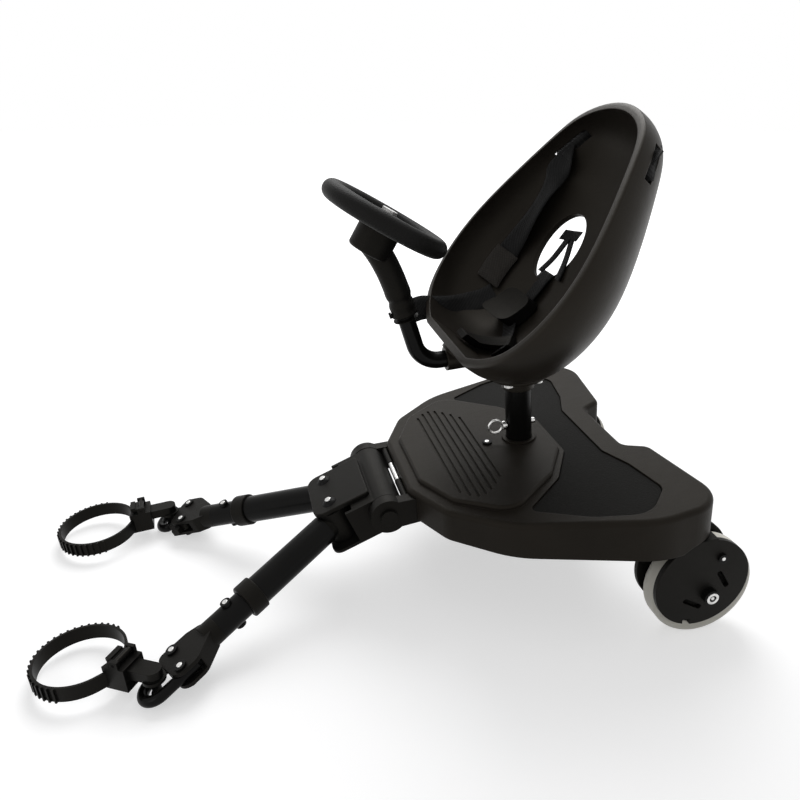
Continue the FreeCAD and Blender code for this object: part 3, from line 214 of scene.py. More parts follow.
deck_plastic = moulded(
    "deck_plastic", (0.0095, 0.0080, 0.0064), (0.0150, 0.0127, 0.0102), gloss=(0.42, 0.64),
    grain=1300, grain_depth=0.0003, edge=0.0012,
)
seat_plastic = moulded(
    "seat_plastic", (0.0100, 0.0083, 0.0068), (0.0155, 0.0132, 0.0106), gloss=(0.36, 0.56),
    grain=900, grain_depth=0.00015, edge=0.0015, specular=0.14,
)
hitch_plastic = moulded(
    "hitch_plastic", (0.0040, 0.0039, 0.0037), (0.0065, 0.0063, 0.0059), gloss=(0.42, 0.64),
    grain=1500, grain_depth=0.00025, edge=0.0008,
)
band_plastic = moulded(
    "band_plastic", (0.0040, 0.0040, 0.0039), (0.0065, 0.0065, 0.0062), gloss=(0.34, 0.5),
    grain=700, grain_depth=0.00012, edge=0.0004,
)
print("plastics", deck_plastic.name, seat_plastic.name, hitch_plastic.name, band_plastic.name)

# %% [markdown]
# ## Rubber and soft grip
# The mat is a flat sheet of rubber with a pebbled face that shoes can grip, and the toy wheel has a
# softer skin with a leather-like grain. Both scatter light more than the mouldings do. Voronoi cells
# make the pebbles, and the distance to the cells' edges makes the creases between them.

# %% Rubber and soft grip
LIGHTER = 1.7


def pebbled_rubber(name, tint, pebbles, depth, feature, rough):
    material, tree, shader = new_finish(name)
    where = place(tree)
    dust = noise(tree, where, scale=9, detail=5)
    height = cells(tree, where, pebbles, feature)
    fill(tree, shader, {
        "Base Color": ramp(tree, dust, tint, scaled(tint, LIGHTER), start=0.35, end=0.8),
        "Roughness": span(tree, dust, rough - 0.06, rough + 0.06),
        "Normal": bump(tree, height, depth, strength=0.6, under=soft_edge(tree, radius=0.0006)),
        "Specular IOR Level": 0.08,
    })
    return material


mat_rubber = pebbled_rubber(
    "mat_rubber", (0.0068, 0.0066, 0.0059), pebbles=650, depth=0.0006, feature="F1", rough=0.74
)
grip_skin = pebbled_rubber(
    "grip_skin", (0.007, 0.0068, 0.0064), pebbles=420, depth=0.0003, feature="DISTANCE_TO_EDGE", rough=0.52
)
print("rubbers", mat_rubber.name, grip_skin.name)

# %% [markdown]
# ## Painted tube
# The arms, the post and the steering column are steel tube with a black stove enamel. Enamel flows
# before it sets, so it is glossy with a slight orange peel. A clear coat over a dark base gives that
# double gloss.

# %% Painted tube
DARKER = 0.7


def enamel(name, tint, rough):
    material, tree, shader = new_finish(name)
    where = place(tree)
    haze = noise(tree, where, scale=30, detail=4)
    peel = noise(tree, where, scale=420, detail=2)
    fill(tree, shader, {
        "Base Color": ramp(tree, haze, scaled(tint, DARKER), tint),
        "Roughness": span(tree, haze, rough - 0.05, rough + 0.08),
        "Normal": bump(tree, peel, depth=0.0003, strength=0.25, under=soft_edge(tree, radius=0.0005)),
        "Specular IOR Level": 0.06,
        "Coat Weight": 0.05,
        "Coat Roughness": 0.12,
    })
    return material


tube_paint = enamel("tube_paint", (0.0042, 0.0040, 0.0037), rough=0.3)
print("paint", tube_paint.name)

# %% [markdown]
# ## Bright steel and pale bushes
# The lock bar, the pin and some bolts are zinc plated. The plate is bright but not a mirror, with
# faint turning marks and a grey bloom in places. Metallic at 1 with cloudy roughness gives that. The
# rivets are blacked, and the small nylon bushes in the wheels are a dull off-white.

# %% Bright steel and bushes
def zinc(name):
    material, tree, shader = new_finish(name)
    where = place(tree)
    bloom = noise(tree, where, scale=260, detail=4)
    marks = noise(tree, where, scale=2600, detail=2, stretch=(1, 1, 0.1))
    fill(tree, shader, {
        "Base Color": ramp(tree, bloom, (0.55, 0.55, 0.54), (0.82, 0.81, 0.79)),
        "Roughness": span(tree, bloom, 0.22, 0.42),
        "Normal": bump(tree, marks, depth=0.0001, strength=0.3, under=soft_edge(tree, radius=0.0005)),
        "Metallic": 1.0,
    })
    return material


def nylon(name):
    material, tree, shader = new_finish(name)
    where = place(tree)
    cloud = noise(tree, where, scale=120, detail=3)
    fill(tree, shader, {
        "Base Color": ramp(tree, cloud, (0.60, 0.58, 0.52), (0.72, 0.70, 0.64)),
        "Roughness": span(tree, cloud, 0.4, 0.55),
    })
    return material


steel = zinc("steel")
blacked = enamel("blacked_steel", (0.0060, 0.0058, 0.0055), rough=0.42)
bush_nylon = nylon("bush_nylon")
print("steel", steel.name, blacked.name, bush_nylon.name)

# %% [markdown]
# ## Milky tyres
# The tyres are cast polyurethane: a cream that lets a little light in, smooth on the flanks and
# lightly scuffed where it rolls. Subsurface scattering gives the milkiness. The scuff is a grey that
# follows noise. The Mix node has sockets of the same names for numbers and for colours, so its colour
# sockets are taken by their place in the list.

# %% Tyres
COLOUR_A = 6
COLOUR_B = 7
COLOUR_RESULT = 2
SCUFF_GREY = (0.33, 0.32, 0.30, 1)


def milky(name):
    material, tree, shader = new_finish(name)
    where = place(tree)
    cloud = noise(tree, where, scale=22, detail=5)
    scuff = noise(tree, where, scale=160, detail=6)
    cream = ramp(tree, cloud, (0.56, 0.54, 0.48), (0.64, 0.62, 0.55))
    mixed = {"Factor": span(tree, scuff, 0.0, 0.16), COLOUR_A: cream, COLOUR_B: SCUFF_GREY}
    worn = add(tree, "ShaderNodeMix", mixed, data_type="RGBA").outputs[COLOUR_RESULT]
    fill(tree, shader, {
        "Base Color": worn,
        "Roughness": span(tree, scuff, 0.34, 0.52),
        "Normal": bump(tree, scuff, depth=0.0003, strength=0.2, under=soft_edge(tree, radius=0.001)),
        "Subsurface Weight": 0.15,
        "Subsurface Radius": (0.004, 0.0035, 0.0025),
        "Subsurface Scale": 1.0,
    })
    return material


tyre_cream = milky("tyre_cream")
print("tyre", tyre_cream.name)

# %% [markdown]
# ## Give every CAD node its finish
# Each rigid node of the CAD model belongs to one finish. A table of finish to node names is easier to
# read and to mend than many single lines. The list that is printed at the end should hold only the
# soft nodes, which get their own pieces below.

# %% Dress the CAD nodes
FINISHES = {
    deck_plastic: "deck_tray post_socket",
    mat_rubber: "grip_mat",
    seat_plastic: "seat_shell column_socket seat_plate",
    hitch_plastic: "hitch_bracket wheel_fork_left wheel_fork_right hub_left hub_right steering_neck "
    "yoke_shell yoke_cover arm_knuckle_left arm_knuckle_right arm_collar_left arm_collar_right "
    "hook_socket_left hook_socket_right hook_gate_left hook_gate_right harness_buckle strap_adjusters "
    "hinge_pin",
    grip_skin: "steering_wheel",
    band_plastic: "clamp_buckle_left clamp_buckle_right ladder_strap_left ladder_strap_right "
    "pawl_lever_left pawl_lever_right",
    tube_paint: "arm_tube_left arm_tube_right inner_tube_left inner_tube_right hook_left hook_right "
    "column_tube seat_post",
    steel: "bracket_screws lock_bar seat_bolts steering_spindle post_pin",
    blacked: "axle_bolts fork_screws trim_screws pivot_rivets hook_fasteners_left hook_fasteners_right",
    bush_nylon: "bushes_left bushes_right",
    tyre_cream: "tyre_left tyre_right",
}
dressed = set()
for finish, names in FINISHES.items():
    for name in names.split():
        nodes[name].data.materials.clear()
        nodes[name].data.materials.append(finish)
        dressed.add(name)
print("dressed", len(dressed), "left", sorted(set(nodes) - dressed))

# %% [markdown]
# ## Webbing cloth
# The harness is woven polypropylene tape, 25 mm wide. Its face shows fine ribs along the tape,
# crossed by a slanting weave. The pattern follows the tape round every bend, so it reads the strap's
# own UV map, laid out in metres: U along the tape and V across it.

# %% Webbing and pad cloth
def woven(name, tint, ribs, across, depth, rough):
    material, tree, shader = new_finish(name)
    flat = add(tree, "ShaderNodeUVMap", uv_map="tape").outputs["UV"]
    lengthwise = {"Vector": flat, "Scale": across, "Distortion": 0.4}
    slanting = {"Vector": flat, "Scale": ribs, "Distortion": 0.6}
    long = add(tree, "ShaderNodeTexWave", lengthwise, bands_direction="Y").outputs["Fac"]
    cross = add(tree, "ShaderNodeTexWave", slanting, bands_direction="DIAGONAL").outputs["Fac"]
    weave = product(tree, long, cross)
    fill(tree, shader, {
        "Base Color": ramp(tree, weave, tint, scaled(tint, LIGHTER), start=0.1, end=0.9),
        "Roughness": span(tree, weave, rough + 0.08, rough - 0.08),
        "Normal": bump(tree, weave, depth, strength=0.7),
        "Specular IOR Level": 0.2,
        "Sheen Weight": 0.06,
    })
    return material


webbing = woven("webbing", (0.0042, 0.0042, 0.0042), ribs=160, across=330, depth=0.0003, rough=0.7)
pad_cloth = woven("pad_cloth", (0.030, 0.027, 0.024), ribs=240, across=240, depth=0.0004, rough=0.8)
print("cloth", webbing.name, pad_cloth.name)

# %% [markdown]
# ## Where the bowl is
# Straps lie on the inside of the egg-shaped bowl, so the script has to know that surface. It could
# repeat the egg's formula, but casting rays on the CAD seat is surer: whatever the seat's shape is, a
# strap lands on it. The seat's own frame runs along the egg, across it, and up out of the open rim.

# %% The seat's own frame
SEAT_TILT = math.radians(52.97)
SEAT_ORIGIN = Vector((77.77, 0, 248.43)) * MM
FACING_REACH = 10
seat_long = Vector((math.cos(SEAT_TILT), 0, math.sin(SEAT_TILT)))
seat_up = Vector((-math.sin(SEAT_TILT), 0, math.cos(SEAT_TILT)))
across_seat = Vector((0, 1, 0))
shell_tree = BVHTree.FromObject(nodes["seat_shell"], bpy.context.evaluated_depsgraph_get())


def in_seat(along, across, up):
    """A point of the seat's frame, given in mm, as a point of the model."""
    return SEAT_ORIGIN + seat_long * (along * MM) + Vector((0, across * MM, 0)) + seat_up * (up * MM)


def landing(start, heading, lift):
    """Where a ray meets the shell, lifted some mm back off the face that it met."""
    hit, normal = shell_tree.ray_cast(start, heading)[:2]
    facing = -normal if normal.dot(heading) > 0 else normal
    return hit + facing * (lift * MM)


def on_bowl(along, across, lift):
    """The point of the bowl's inside below a place on the rim plane."""
    return landing(in_seat(along, across, 0), -seat_up, lift)


def on_wall(along, up, side, lift):
    """The point of the bowl's inside beside a place on the seat's middle plane."""
    return landing(in_seat(along, 0, up), across_seat * side, lift)


def off_wall(along, up, side):
    """The direction in which the wall faces there, into the bowl."""
    return (on_wall(along, up, side, FACING_REACH) - on_wall(along, up, side, 0)).normalized()


print("bowl's floor", [round(v, 4) for v in on_bowl(100, 0, 0)])

# %% [markdown]
# ## Floor
# The photograph has a white sweep with a soft grey shadow under the board. A lit grey floor would
# need far more light than the object can take, so the floor adds white of its own to what the camera
# sees, and more of it further out. Reflections show the same white, but none of it falls on the object
# as light.

# %% Floor
FLOOR_RADIUS = 6.0
FLOOR_DROP = 0.4 * MM
FLOOR_GREY = (0.62, 0.62, 0.625, 1)
GLOW_NEAR = 0.52
GLOW_RISES_FROM = 0.5
GLOW_FULL_AT = 1.6
floor_mesh = bmesh.new()
bmesh.ops.create_circle(floor_mesh, cap_ends=True, segments=96, radius=FLOOR_RADIUS)
bmesh.ops.translate(floor_mesh, verts=floor_mesh.verts, vec=(0, 0, -FLOOR_DROP))
floor_data = bpy.data.meshes.new("floor")
floor_mesh.to_mesh(floor_data)
floor_mesh.free()
floor = bpy.data.objects.new("floor", floor_data)
bpy.context.scene.collection.objects.link(floor)

floor_paint, tree, floor_shader = new_finish("floor_paint")
seen = add(tree, "ShaderNodeLightPath").outputs
not_lit = either(tree, seen["Is Camera Ray"], seen["Is Glossy Ray"])
not_lit = either(tree, not_lit, seen["Is Transmission Ray"])
far_off = add(tree, "ShaderNodeVectorMath", {0: place(tree)}, operation="LENGTH").outputs["Value"]
glow = add(tree, "ShaderNodeMapRange", {
    "Value": far_off,
    "From Min": GLOW_RISES_FROM,
    "From Max": GLOW_FULL_AT,
    "To Min": GLOW_NEAR,
    "To Max": 1.0,
}).outputs["Result"]
fill(tree, floor_shader, {
    "Base Color": FLOOR_GREY,
    "Roughness": 0.9,
    "Specular IOR Level": 0.0,
    "Emission Color": (1, 1, 1, 1),
    "Emission Strength": product(tree, not_lit, glow),
})
floor_data.materials.append(floor_paint)
print("floor radius in m", FLOOR_RADIUS)

# %% [markdown]
# ## Sky
# An even white sky stands behind everything. It shows at full strength to the camera and in
# reflections, and lights the model at a lower level, so that dark plastic stays dark. The Light Path
# node tells the two apart.

# %% Sky
SKY_LIGHT = 0.45
sky = bpy.data.worlds.new("sky")
bpy.context.scene.world = sky
sky.use_nodes = True
tree = sky.node_tree
tree.nodes.clear()
seen = add(tree, "ShaderNodeLightPath").outputs
shown = either(tree, seen["Is Camera Ray"], seen["Is Transmission Ray"])
shown = either(tree, shown, seen["Is Glossy Ray"])
level = span(tree, shown, SKY_LIGHT, 1.0)
background = add(tree, "ShaderNodeBackground", {"Color": (1, 1, 1, 1), "Strength": level})
add(tree, "ShaderNodeOutputWorld", {"Surface": background.outputs["Background"]})
print("sky light", SKY_LIGHT)

# %% [markdown]
# ## Lamps
# Two softboxes stay at a plain level. The broad one hangs above and behind the board, so that the
# faces turned to the camera fall dark and the shadow spreads towards it, as in the photograph. A
# weaker one from the left keeps the near sides readable. Area lamps are used because their size sets
# how soft the shadow's edge is.

# %% Softboxes
def softbox(name, place_at, aim, side, power):
    lamp = bpy.data.lights.new(name, "AREA")
    lamp.energy = power
    lamp.size = side
    made = bpy.data.objects.new(name, lamp)
    bpy.context.scene.collection.objects.link(made)
    made.location = place_at
    made.rotation_mode = "QUATERNION"
    made.rotation_quaternion = (Vector(aim) - Vector(place_at)).to_track_quat("-Z", "Y")


softbox("overhead", (0.25, 0.95, 1.55), (0.0, 0.0, 0.15), side=1.2, power=22)
softbox("left_fill", (-1.5, -0.9, 0.9), (0.0, 0.0, 0.2), side=0.9, power=3.5)

# %% [markdown]
# ## Straps
# A strap is a strip of tape that runs through a few stations. A curve with a flat section could make
# it, but its twist is hard to steer. A grid whose rows are moved to stations along a smooth route
# gives full control, and Solidify makes it as thick as real tape.

# %% Strap maker
STRAP_WIDTH = 25
TAPE_THICK = 1.4
TAPE_LIFT = 1.7
ROUTE_STEPS = 200
tape_lengths = {}


def glide(stations, share):
    """A point on a smooth line through the stations; share runs from 0 to 1."""
    last = len(stations) - 1
    spot = min(max(share, 0.0), 1.0) * last
    index = min(int(spot), last - 1)
    t = spot - index
    a, b, c, d = (stations[min(max(index + step, 0), last)] for step in (-1, 0, 1, 2))
    second = 2 * a - 5 * b + 4 * c - d
    third = 3 * b - a - 3 * c + d
    return 0.5 * (2 * b + (c - a) * t + second * t ** 2 + third * t ** 3)


def shown_piece(name, mesh, finish, body, smooth=True):
    """Turns a finished bmesh into a piece that rides on a CAD body."""
    data = bpy.data.meshes.new(name)
    mesh.to_mesh(data)
    mesh.free()
    made = bpy.data.objects.new(name, data)
    bpy.context.scene.collection.objects.link(made)
    data.materials.append(finish)
    for face in data.polygons:
        face.use_smooth = smooth
    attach(made, body)
    return made


def strap(name, middles, sides, width=STRAP_WIDTH, thick=TAPE_THICK, steps=60):
    """Tape through middle points, with the direction of its width at each."""
    tape = bmesh.new()
    layer = tape.loops.layers.uv.new("tape")
    bmesh.ops.create_grid(tape, x_segments=steps, y_segments=4, size=0.5)
    route = [glide(middles, step / ROUTE_STEPS) for step in range(ROUTE_STEPS + 1)]
    length = sum((b - a).length for a, b in zip(route, route[1:]))
    for face in tape.faces:
        for loop in face.loops:
            loop[layer].uv = ((loop.vert.co.x + 0.5) * length, (loop.vert.co.y + 0.5) * width * MM)
    for vertex in tape.verts:
        share = vertex.co.x + 0.5
        across = glide(sides, share).normalized()
        vertex.co = glide(middles, share) + across * (vertex.co.y * width * MM)
    tape_lengths[name] = round(length / MM)
    made = shown_piece(name, tape, webbing, "deck")
    wall = made.modifiers.new("tape_wall", "SOLIDIFY")
    wall.thickness = thick * MM
    wall.offset = 0
    return made


print("strap maker ready")

# %% [markdown]
# ## Harness in the bowl
# Two shoulder straps come through slots near the rim and run down the bowl's flanks to their pads.
# Webbing is stiff across its width, so a strap that leaves a slot sideways stands off the wall like a
# narrow shelf before it lies down again. Each strap's route is a handful of stations on the bowl's
# own surface, and a lean says how far the tape stands off there. A wad of folded tape fills each
# slot, which keeps the strap from slipping back.

# %% Shoulder straps
SLOT_ALONG = 221
SLOT_ENDS = (206.6, 235.4)
SLOT_UP = -9.5
SLOT_TOP = -4.4
SLOT_FOOT = -14.6
WALL_HALF = 3.5
FOLD_THICK = 8.6
FOLD_STEPS = (-3, 0, 3)
THROAT_OUT = (78.5, 76.5, 74)
MOUTH = (215, 67, -12)
MOUTH_TWIST = 0.7
WALL_STATIONS = [
    (198, -19, 18), (186, -24, 42), (173, -29, 48), (150, -35, 46), (120, -40, 22), (98, -41, 3),
    (82, -41, 0),
]


def leaning(along, up, lean, side):
    """The tape's middle and the direction of its width where it stands off the wall by an angle."""
    wall = on_wall(along, up, side, 0)
    inward = off_wall(along, up, side)
    uphill = seat_long.cross(inward).normalized()
    if uphill.dot(seat_up) < 0:
        uphill = -uphill
    turn = math.radians(lean)
    lift = STRAP_WIDTH / 2 * math.sin(turn) + TAPE_LIFT
    return wall + inward * (lift * MM), uphill * math.cos(turn) - inward * math.sin(turn)


shoulder_pieces = []
for side, word in ((-1, "near"), (1, "far")):
    throat = [in_seat(SLOT_ALONG, side * out, SLOT_UP) for out in THROAT_OUT]
    throat.append(in_seat(MOUTH[0], side * MOUTH[1], MOUTH[2]))
    laid = [leaning(along, up, lean, side) for along, up, lean in WALL_STATIONS]
    middles = throat + [spot for spot, width in laid]
    turning = seat_long + laid[0][1] * MOUTH_TWIST
    sides = [seat_long] * len(THROAT_OUT) + [turning] + [width for spot, width in laid]
    shoulder_pieces.append(strap(f"shoulder_strap_{word}", middles, sides, steps=110))
    above = [on_wall(along, SLOT_TOP, side, -WALL_HALF) for along in SLOT_ENDS]
    below = [on_wall(along, SLOT_FOOT, side, -WALL_HALF) for along in SLOT_ENDS]
    low, high = ((top + foot) / 2 for top, foot in zip(above, below))
    slant = (high - low).normalized()
    outward = slant.cross(seat_up) * -side
    in_slot = [(low + high) / 2 + outward * (step * MM) for step in FOLD_STEPS]
    fold_sides = [slant] * len(FOLD_STEPS)
    fold_width = (high - low).length / MM
    shoulder_pieces.append(strap(f"slot_fold_{word}", in_slot, fold_sides, fold_width, FOLD_THICK, steps=8))
    for piece in shoulder_pieces[-2:]:
        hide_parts("shoulder_straps")
print("shoulder straps", [piece.name for piece in shoulder_pieces])

# %% [markdown]
# ## Waist straps
# The waist straps come in through the two oval holes in the bowl's flanks and run to the buckle. They
# lie flat on the bowl's floor, so most of their stations are rays cast down on it. Only the first two
# hang in the hole.

# %% Waist straps
WAIST_ACROSS = 62
WAIST_HOLE = ((112, -69), (104, -68))
WAIST_FLOOR = (96, 88, 79, 70)
waist_pieces = []
for side, word in ((-1, "near"), (1, "far")):
    from_hole = [in_seat(along, side * WAIST_ACROSS, up) for along, up in WAIST_HOLE]
    on_floor = [on_bowl(along, side * WAIST_ACROSS, TAPE_LIFT) for along in WAIST_FLOOR]
    middles = from_hole + on_floor
    waist_pieces.append(strap(f"waist_strap_{word}", middles, [across_seat] * len(middles)))
print("waist straps", [piece.name for piece in waist_pieces])

# %% [markdown]
# ## The loose end and the far hole
# One loose end lies up the far wall and pokes out over the rim, as in the photograph. Tape twists as
# it goes, so each of its stations has a twist, the share of the egg's long direction that its width
# takes on. Two thin legs and a tab show in the far hole.

# %% The loose end and the far hole
LOOSE_END = [(62, -50, 0.4), (52, -46, 0.5), (42, -39, 0.6), (31, -29, 0.8), (22, -17, 1.0)]
LOOSE_TIP = [(14, 90, -3), (7, 89, 9), (0, 85, 17)]
LOOSE_LIFT = 1.8
HOLE_LEGS = [
    [(108, 68, -63), (126, 62, -63), (150, 56, -60)],
    [(110, 42, -71), (130, 47, -68), (152, 52, -61)],
]
HOLE_LEG_WIDTH = 9
HOLE_TAB = [(150, 66, -57), (153, 55, -60), (156, 44, -62)]
HOLE_TAB_WIDTH = 11
middles = [on_wall(along, up, 1, LOOSE_LIFT) for along, up, twist in LOOSE_END]
middles += [in_seat(*spot) for spot in LOOSE_TIP]
sides = [leaning(along, up, 0, 1)[1] + seat_long * twist for along, up, twist in LOOSE_END]
sides += [sides[-1]] * len(LOOSE_TIP)
waist_pieces.append(strap("loose_end", middles, sides))
for number, spots in enumerate(HOLE_LEGS):
    middles = [in_seat(*spot) for spot in spots]
    sides = [across_seat] * len(spots)
    waist_pieces.append(strap(f"hole_leg_{number}", middles, sides, HOLE_LEG_WIDTH))
middles = [in_seat(*spot) for spot in HOLE_TAB]
waist_pieces.append(strap("hole_tab", middles, [seat_long] * len(HOLE_TAB), HOLE_TAB_WIDTH))
for piece in waist_pieces:
    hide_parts("waist_straps")
print("waist pieces", len(waist_pieces))

# %% [markdown]
# ## Crotch strap
# The crotch strap holds the buckle to the front of the floor. It runs askew over the floor, and its
# width is turned with it.

# %% Crotch strap
CROTCH_SPOTS = [(14, 11), (20, 19), (28, 30), (38, 44), (47, 57)]
crotch_width = (seat_long * 0.81 - across_seat * 0.58).normalized()
middles = [on_bowl(*spot, TAPE_LIFT) for spot in CROTCH_SPOTS]
crotch = strap("crotch_strap_tape", middles, [crotch_width] * len(CROTCH_SPOTS))
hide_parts("crotch_strap")
print("tape lengths in mm", tape_lengths)

# %% [markdown]
# ## Shoulder pads
# Each shoulder strap carries a soft sleeve of spacer cloth round a slip of foam. It is crowned in the
# middle and thin at its sewn edge. A subdivided box that is bent along the strap and swollen by a
# smooth profile makes it.

# %% Shoulder pads
PAD_LIFT = 1.2 * MM
PAD_UP = -41
PAD_STATIONS = (106, 93, 80, 67)
PAD_MIDDLE = 86
PAD_WIDTH = 28
PAD_THICK = 5
EDGE_SHARE = 0.22
SEAM_DEPTH = 0.16
SEAM_AT = 0.84
SEAM_HALF = 0.05
CROWN_POWER = 6
NEARBY = 0.02


def pad(name, middles, sides, width, thick, outward):
    """A crowned pad along a route, thin at its sewn edge, rising to the outward side."""
    block = bmesh.new()
    bmesh.ops.create_cube(block, size=1)
    bmesh.ops.subdivide_edges(block, edges=block.edges, cuts=15, use_grid_fill=True)
    layer = block.loops.layers.uv.new("tape")
    length = sum((b - a).length for a, b in zip(middles, middles[1:]))
    for face in block.faces:
        for loop in face.loops:
            loop[layer].uv = (loop.vert.co.x * length, loop.vert.co.y * width * MM)
    for vertex in block.verts:
        along, out, up = vertex.co
        share = along + 0.5
        edge = max(abs(2 * along), abs(2 * out))
        seam = SEAM_DEPTH * math.exp(-((edge - SEAM_AT) / SEAM_HALF) ** 2)
        crown = EDGE_SHARE + (1 - EDGE_SHARE) * (1 - edge ** CROWN_POWER) - seam
        across = glide(sides, share).normalized()
        ahead = (glide(middles, share + NEARBY) - glide(middles, share - NEARBY)).normalized()
        rise = ahead.cross(across).normalized()
        if rise.dot(outward) < 0:
            rise = -rise
        sideways = across * (out * width * MM)
        vertex.co = glide(middles, share) + sideways + rise * ((up * crown + 0.5) * thick * MM)
    made = shown_piece(name, block, pad_cloth, "deck")
    round_off = made.modifiers.new("pad_round", "SUBSURF")
    round_off.levels = round_off.render_levels = 1
    return made


for side, word in ((-1, "near"), (1, "far")):
    laid = [leaning(along, PAD_UP, 0, side) for along in PAD_STATIONS]
    inward = off_wall(PAD_MIDDLE, PAD_UP, side)
    middles = [spot + inward * PAD_LIFT for spot, width in laid]
    sides = [width for spot, width in laid]
    pad(f"shoulder_pad_{word}", middles, sides, PAD_WIDTH, PAD_THICK, inward)
    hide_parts("shoulder_pads")

# %% [markdown]
# ## Where the fasteners are
# Alike fasteners share one CAD node, so a node can hold several solids. A bmesh copy of the node is
# merged, because its triangles are loose, and then walked from point to point until each solid is
# found. The end that a fastener shows is the far end of its box along its own axis.

# %% Find the fasteners
MERGE_WITHIN = 0.001 * MM


def loose_solids(node):
    """The separate solids of a CAD node, each as a list of its points."""
    mesh = bmesh.new()
    mesh.from_mesh(nodes[node].data)
    bmesh.ops.remove_doubles(mesh, verts=mesh.verts, dist=MERGE_WITHIN)
    known = set()
    solids = []
    for first in mesh.verts:
        if first in known:
            continue
        known.add(first)
        reached = [first]
        for vertex in reached:
            for other in (edge.other_vert(vertex) for edge in vertex.link_edges):
                if other not in known:
                    known.add(other)
                    reached.append(other)
        solids.append([vertex.co.copy() for vertex in reached])
    mesh.free()
    return sorted(solids, key=lambda points: (round(points[0].y, 3), round(points[0].x, 3)))


def crown_of(points, axis):
    """The middle of the end that a solid turns to an axis."""
    reach = [point.dot(axis) for point in points]
    lows = [min(point[way] for point in points) for way in range(3)]
    highs = [max(point[way] for point in points) for way in range(3)]
    middle = (Vector(lows) + Vector(highs)) / 2
    return middle + axis * (max(reach) - middle.dot(axis))


print("pivot rivets", len(loose_solids("pivot_rivets")))

# %% [markdown]
# ## Fastener crowns
# The rivets and bolts have blacked flanges, each with a small bevelled bright steel button on the end that
# shows, sunk a little so that no gap opens under it. On the fork screws and the deck screw the button is a
# painted highlight that stands for a glint on the blacked head. The axle bolts get a bright nut ring too.

# %% Crown makers
BUTTON_SINK = 0.2 * MM
BUTTON_TAPER = 0.8
BUTTON_ROUNDING = 0.25


def set_on(mesh, spot, axis):
    """Stands a mesh that was made on the XY plane on a spot, along an axis."""
    turn = axis.to_track_quat("Z", "Y").to_matrix().to_4x4()
    bmesh.ops.transform(mesh, matrix=Matrix.Translation(spot) @ turn, verts=mesh.verts)


def button(name, spot, axis, radius, height, body):
    mesh = bmesh.new()
    lift = Matrix.Translation((0, 0, height * MM / 2 - BUTTON_SINK))
    sizes = {"radius1": radius * MM, "radius2": BUTTON_TAPER * radius * MM, "depth": height * MM}
    bmesh.ops.create_cone(mesh, cap_ends=True, segments=32, matrix=lift, **sizes)
    halfway = height * MM / 2
    upper = [edge for edge in mesh.edges if all(vertex.co.z > halfway for vertex in edge.verts)]
    rounding = {"offset": BUTTON_ROUNDING * height * MM, "segments": 3, "profile": 0.5, "material": -1}
    bmesh.ops.bevel(mesh, geom=upper, affect="EDGES", **rounding)
    set_on(mesh, spot, axis)
    return shown_piece(name, mesh, steel, body)


def ring(name, spot, axis, inner, outer, height, body):
    mesh = bmesh.new()
    bmesh.ops.create_circle(mesh, segments=48, radius=inner * MM)
    bmesh.ops.create_circle(mesh, segments=48, radius=outer * MM)
    flat = bmesh.ops.bridge_loops(mesh, edges=mesh.edges)["faces"]
    raised = bmesh.ops.extrude_face_region(mesh, geom=flat)["geom"]
    corners = [part for part in raised if isinstance(part, bmesh.types.BMVert)]
    bmesh.ops.translate(mesh, verts=corners, vec=(0, 0, height * MM))
    bmesh.ops.recalc_face_normals(mesh, faces=mesh.faces)
    set_on(mesh, spot, axis)
    return shown_piece(name, mesh, steel, body, smooth=False)


print("crown makers ready")

# %% [markdown]
# ## Crowns and nuts in place
# Each fastener's own axis says where its crown goes: up out of the arms for the rivets, outwards for
# the bolts and screws of the wheels, and up from the deck for the screw in front of the post.

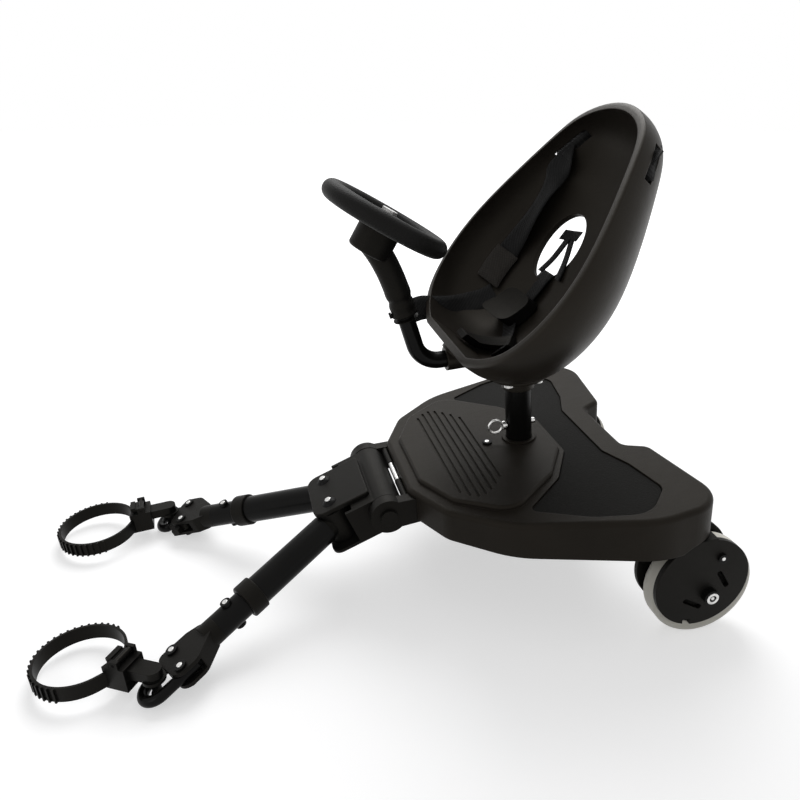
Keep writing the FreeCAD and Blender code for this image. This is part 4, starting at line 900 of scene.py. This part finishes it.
# %% Crowns and nuts
ARM_UP = Vector((-0.3989, 0, 0.9170))
DECK_UP = Vector((-0.0849, 0, 0.9964))
crowned = []
for node, body, axis, radius in (
    ("pivot_rivets", "yoke", ARM_UP, 3.4),
    ("hook_fasteners_left", "slider_left", ARM_UP, 3.0),
    ("hook_fasteners_right", "slider_right", ARM_UP, 3.0),
):
    for number, points in enumerate(loose_solids(node)):
        end = crown_of(points, axis)
        crowned.append(button(f"{node}_crown_{number}", end, axis, radius, height=0.9, body=body))
for number, points in enumerate(loose_solids("axle_bolts")):
    outward = across_seat if points[0].y > 0 else -across_seat
    end = crown_of(points, outward)
    nut = ring(f"axle_nut_{number}", end, outward, inner=3.4, outer=5.8, height=1.2, body="deck")
    crowned.append(nut)
    crowned.append(button(f"axle_end_{number}", end, outward, radius=2.0, height=1.0, body="deck"))
# The bright button on each fork screw is a painted highlight that stands for a glint on the blacked head.
for number, points in enumerate(loose_solids("fork_screws")):
    outward = across_seat if points[0].y > 0 else -across_seat
    end = crown_of(points, outward)
    crowned.append(button(f"fork_screw_glint_{number}", end, outward, radius=2.0, height=0.6, body="deck"))
# The bright button on the deck screw is a painted highlight that stands for a glint on the blacked head.
deck_screw = max(loose_solids("trim_screws"), key=lambda points: points[0].x)
end = crown_of(deck_screw, DECK_UP)
crowned.append(button("deck_screw_glint", end, DECK_UP, radius=2.6, height=0.6, body="deck"))
print("crowns", len(crowned))

# %% [markdown]
# ## Lock bar sleeves
# Only the middle of the bright cross bar shows; both of its ends run in black sleeves beside the
# ears. Two short round sleeves over the CAD bar do that.

# %% Lock bar sleeves
bar_points = loose_solids("lock_bar")[0]
bar_middle = sum(bar_points, Vector()) / len(bar_points)
BAR_HALF_SHOWN = 17
BAR_HALF = 52
SLEEVE_RADIUS = 3.5 * MM
sleeve_length = (BAR_HALF - BAR_HALF_SHOWN) * MM
for side, word in ((-1, "near"), (1, "far")):
    mesh = bmesh.new()
    sizes = {"radius1": SLEEVE_RADIUS, "radius2": SLEEVE_RADIUS, "depth": sleeve_length}
    bmesh.ops.create_cone(mesh, cap_ends=True, segments=32, **sizes)
    sleeve_middle = bar_middle + across_seat * (side * (BAR_HALF + BAR_HALF_SHOWN) / 2 * MM)
    set_on(mesh, sleeve_middle, across_seat)
    shown_piece(f"bar_sleeve_{word}", mesh, hitch_plastic, "deck", smooth=False)
print("sleeves on a bar at", [round(v, 4) for v in bar_middle])
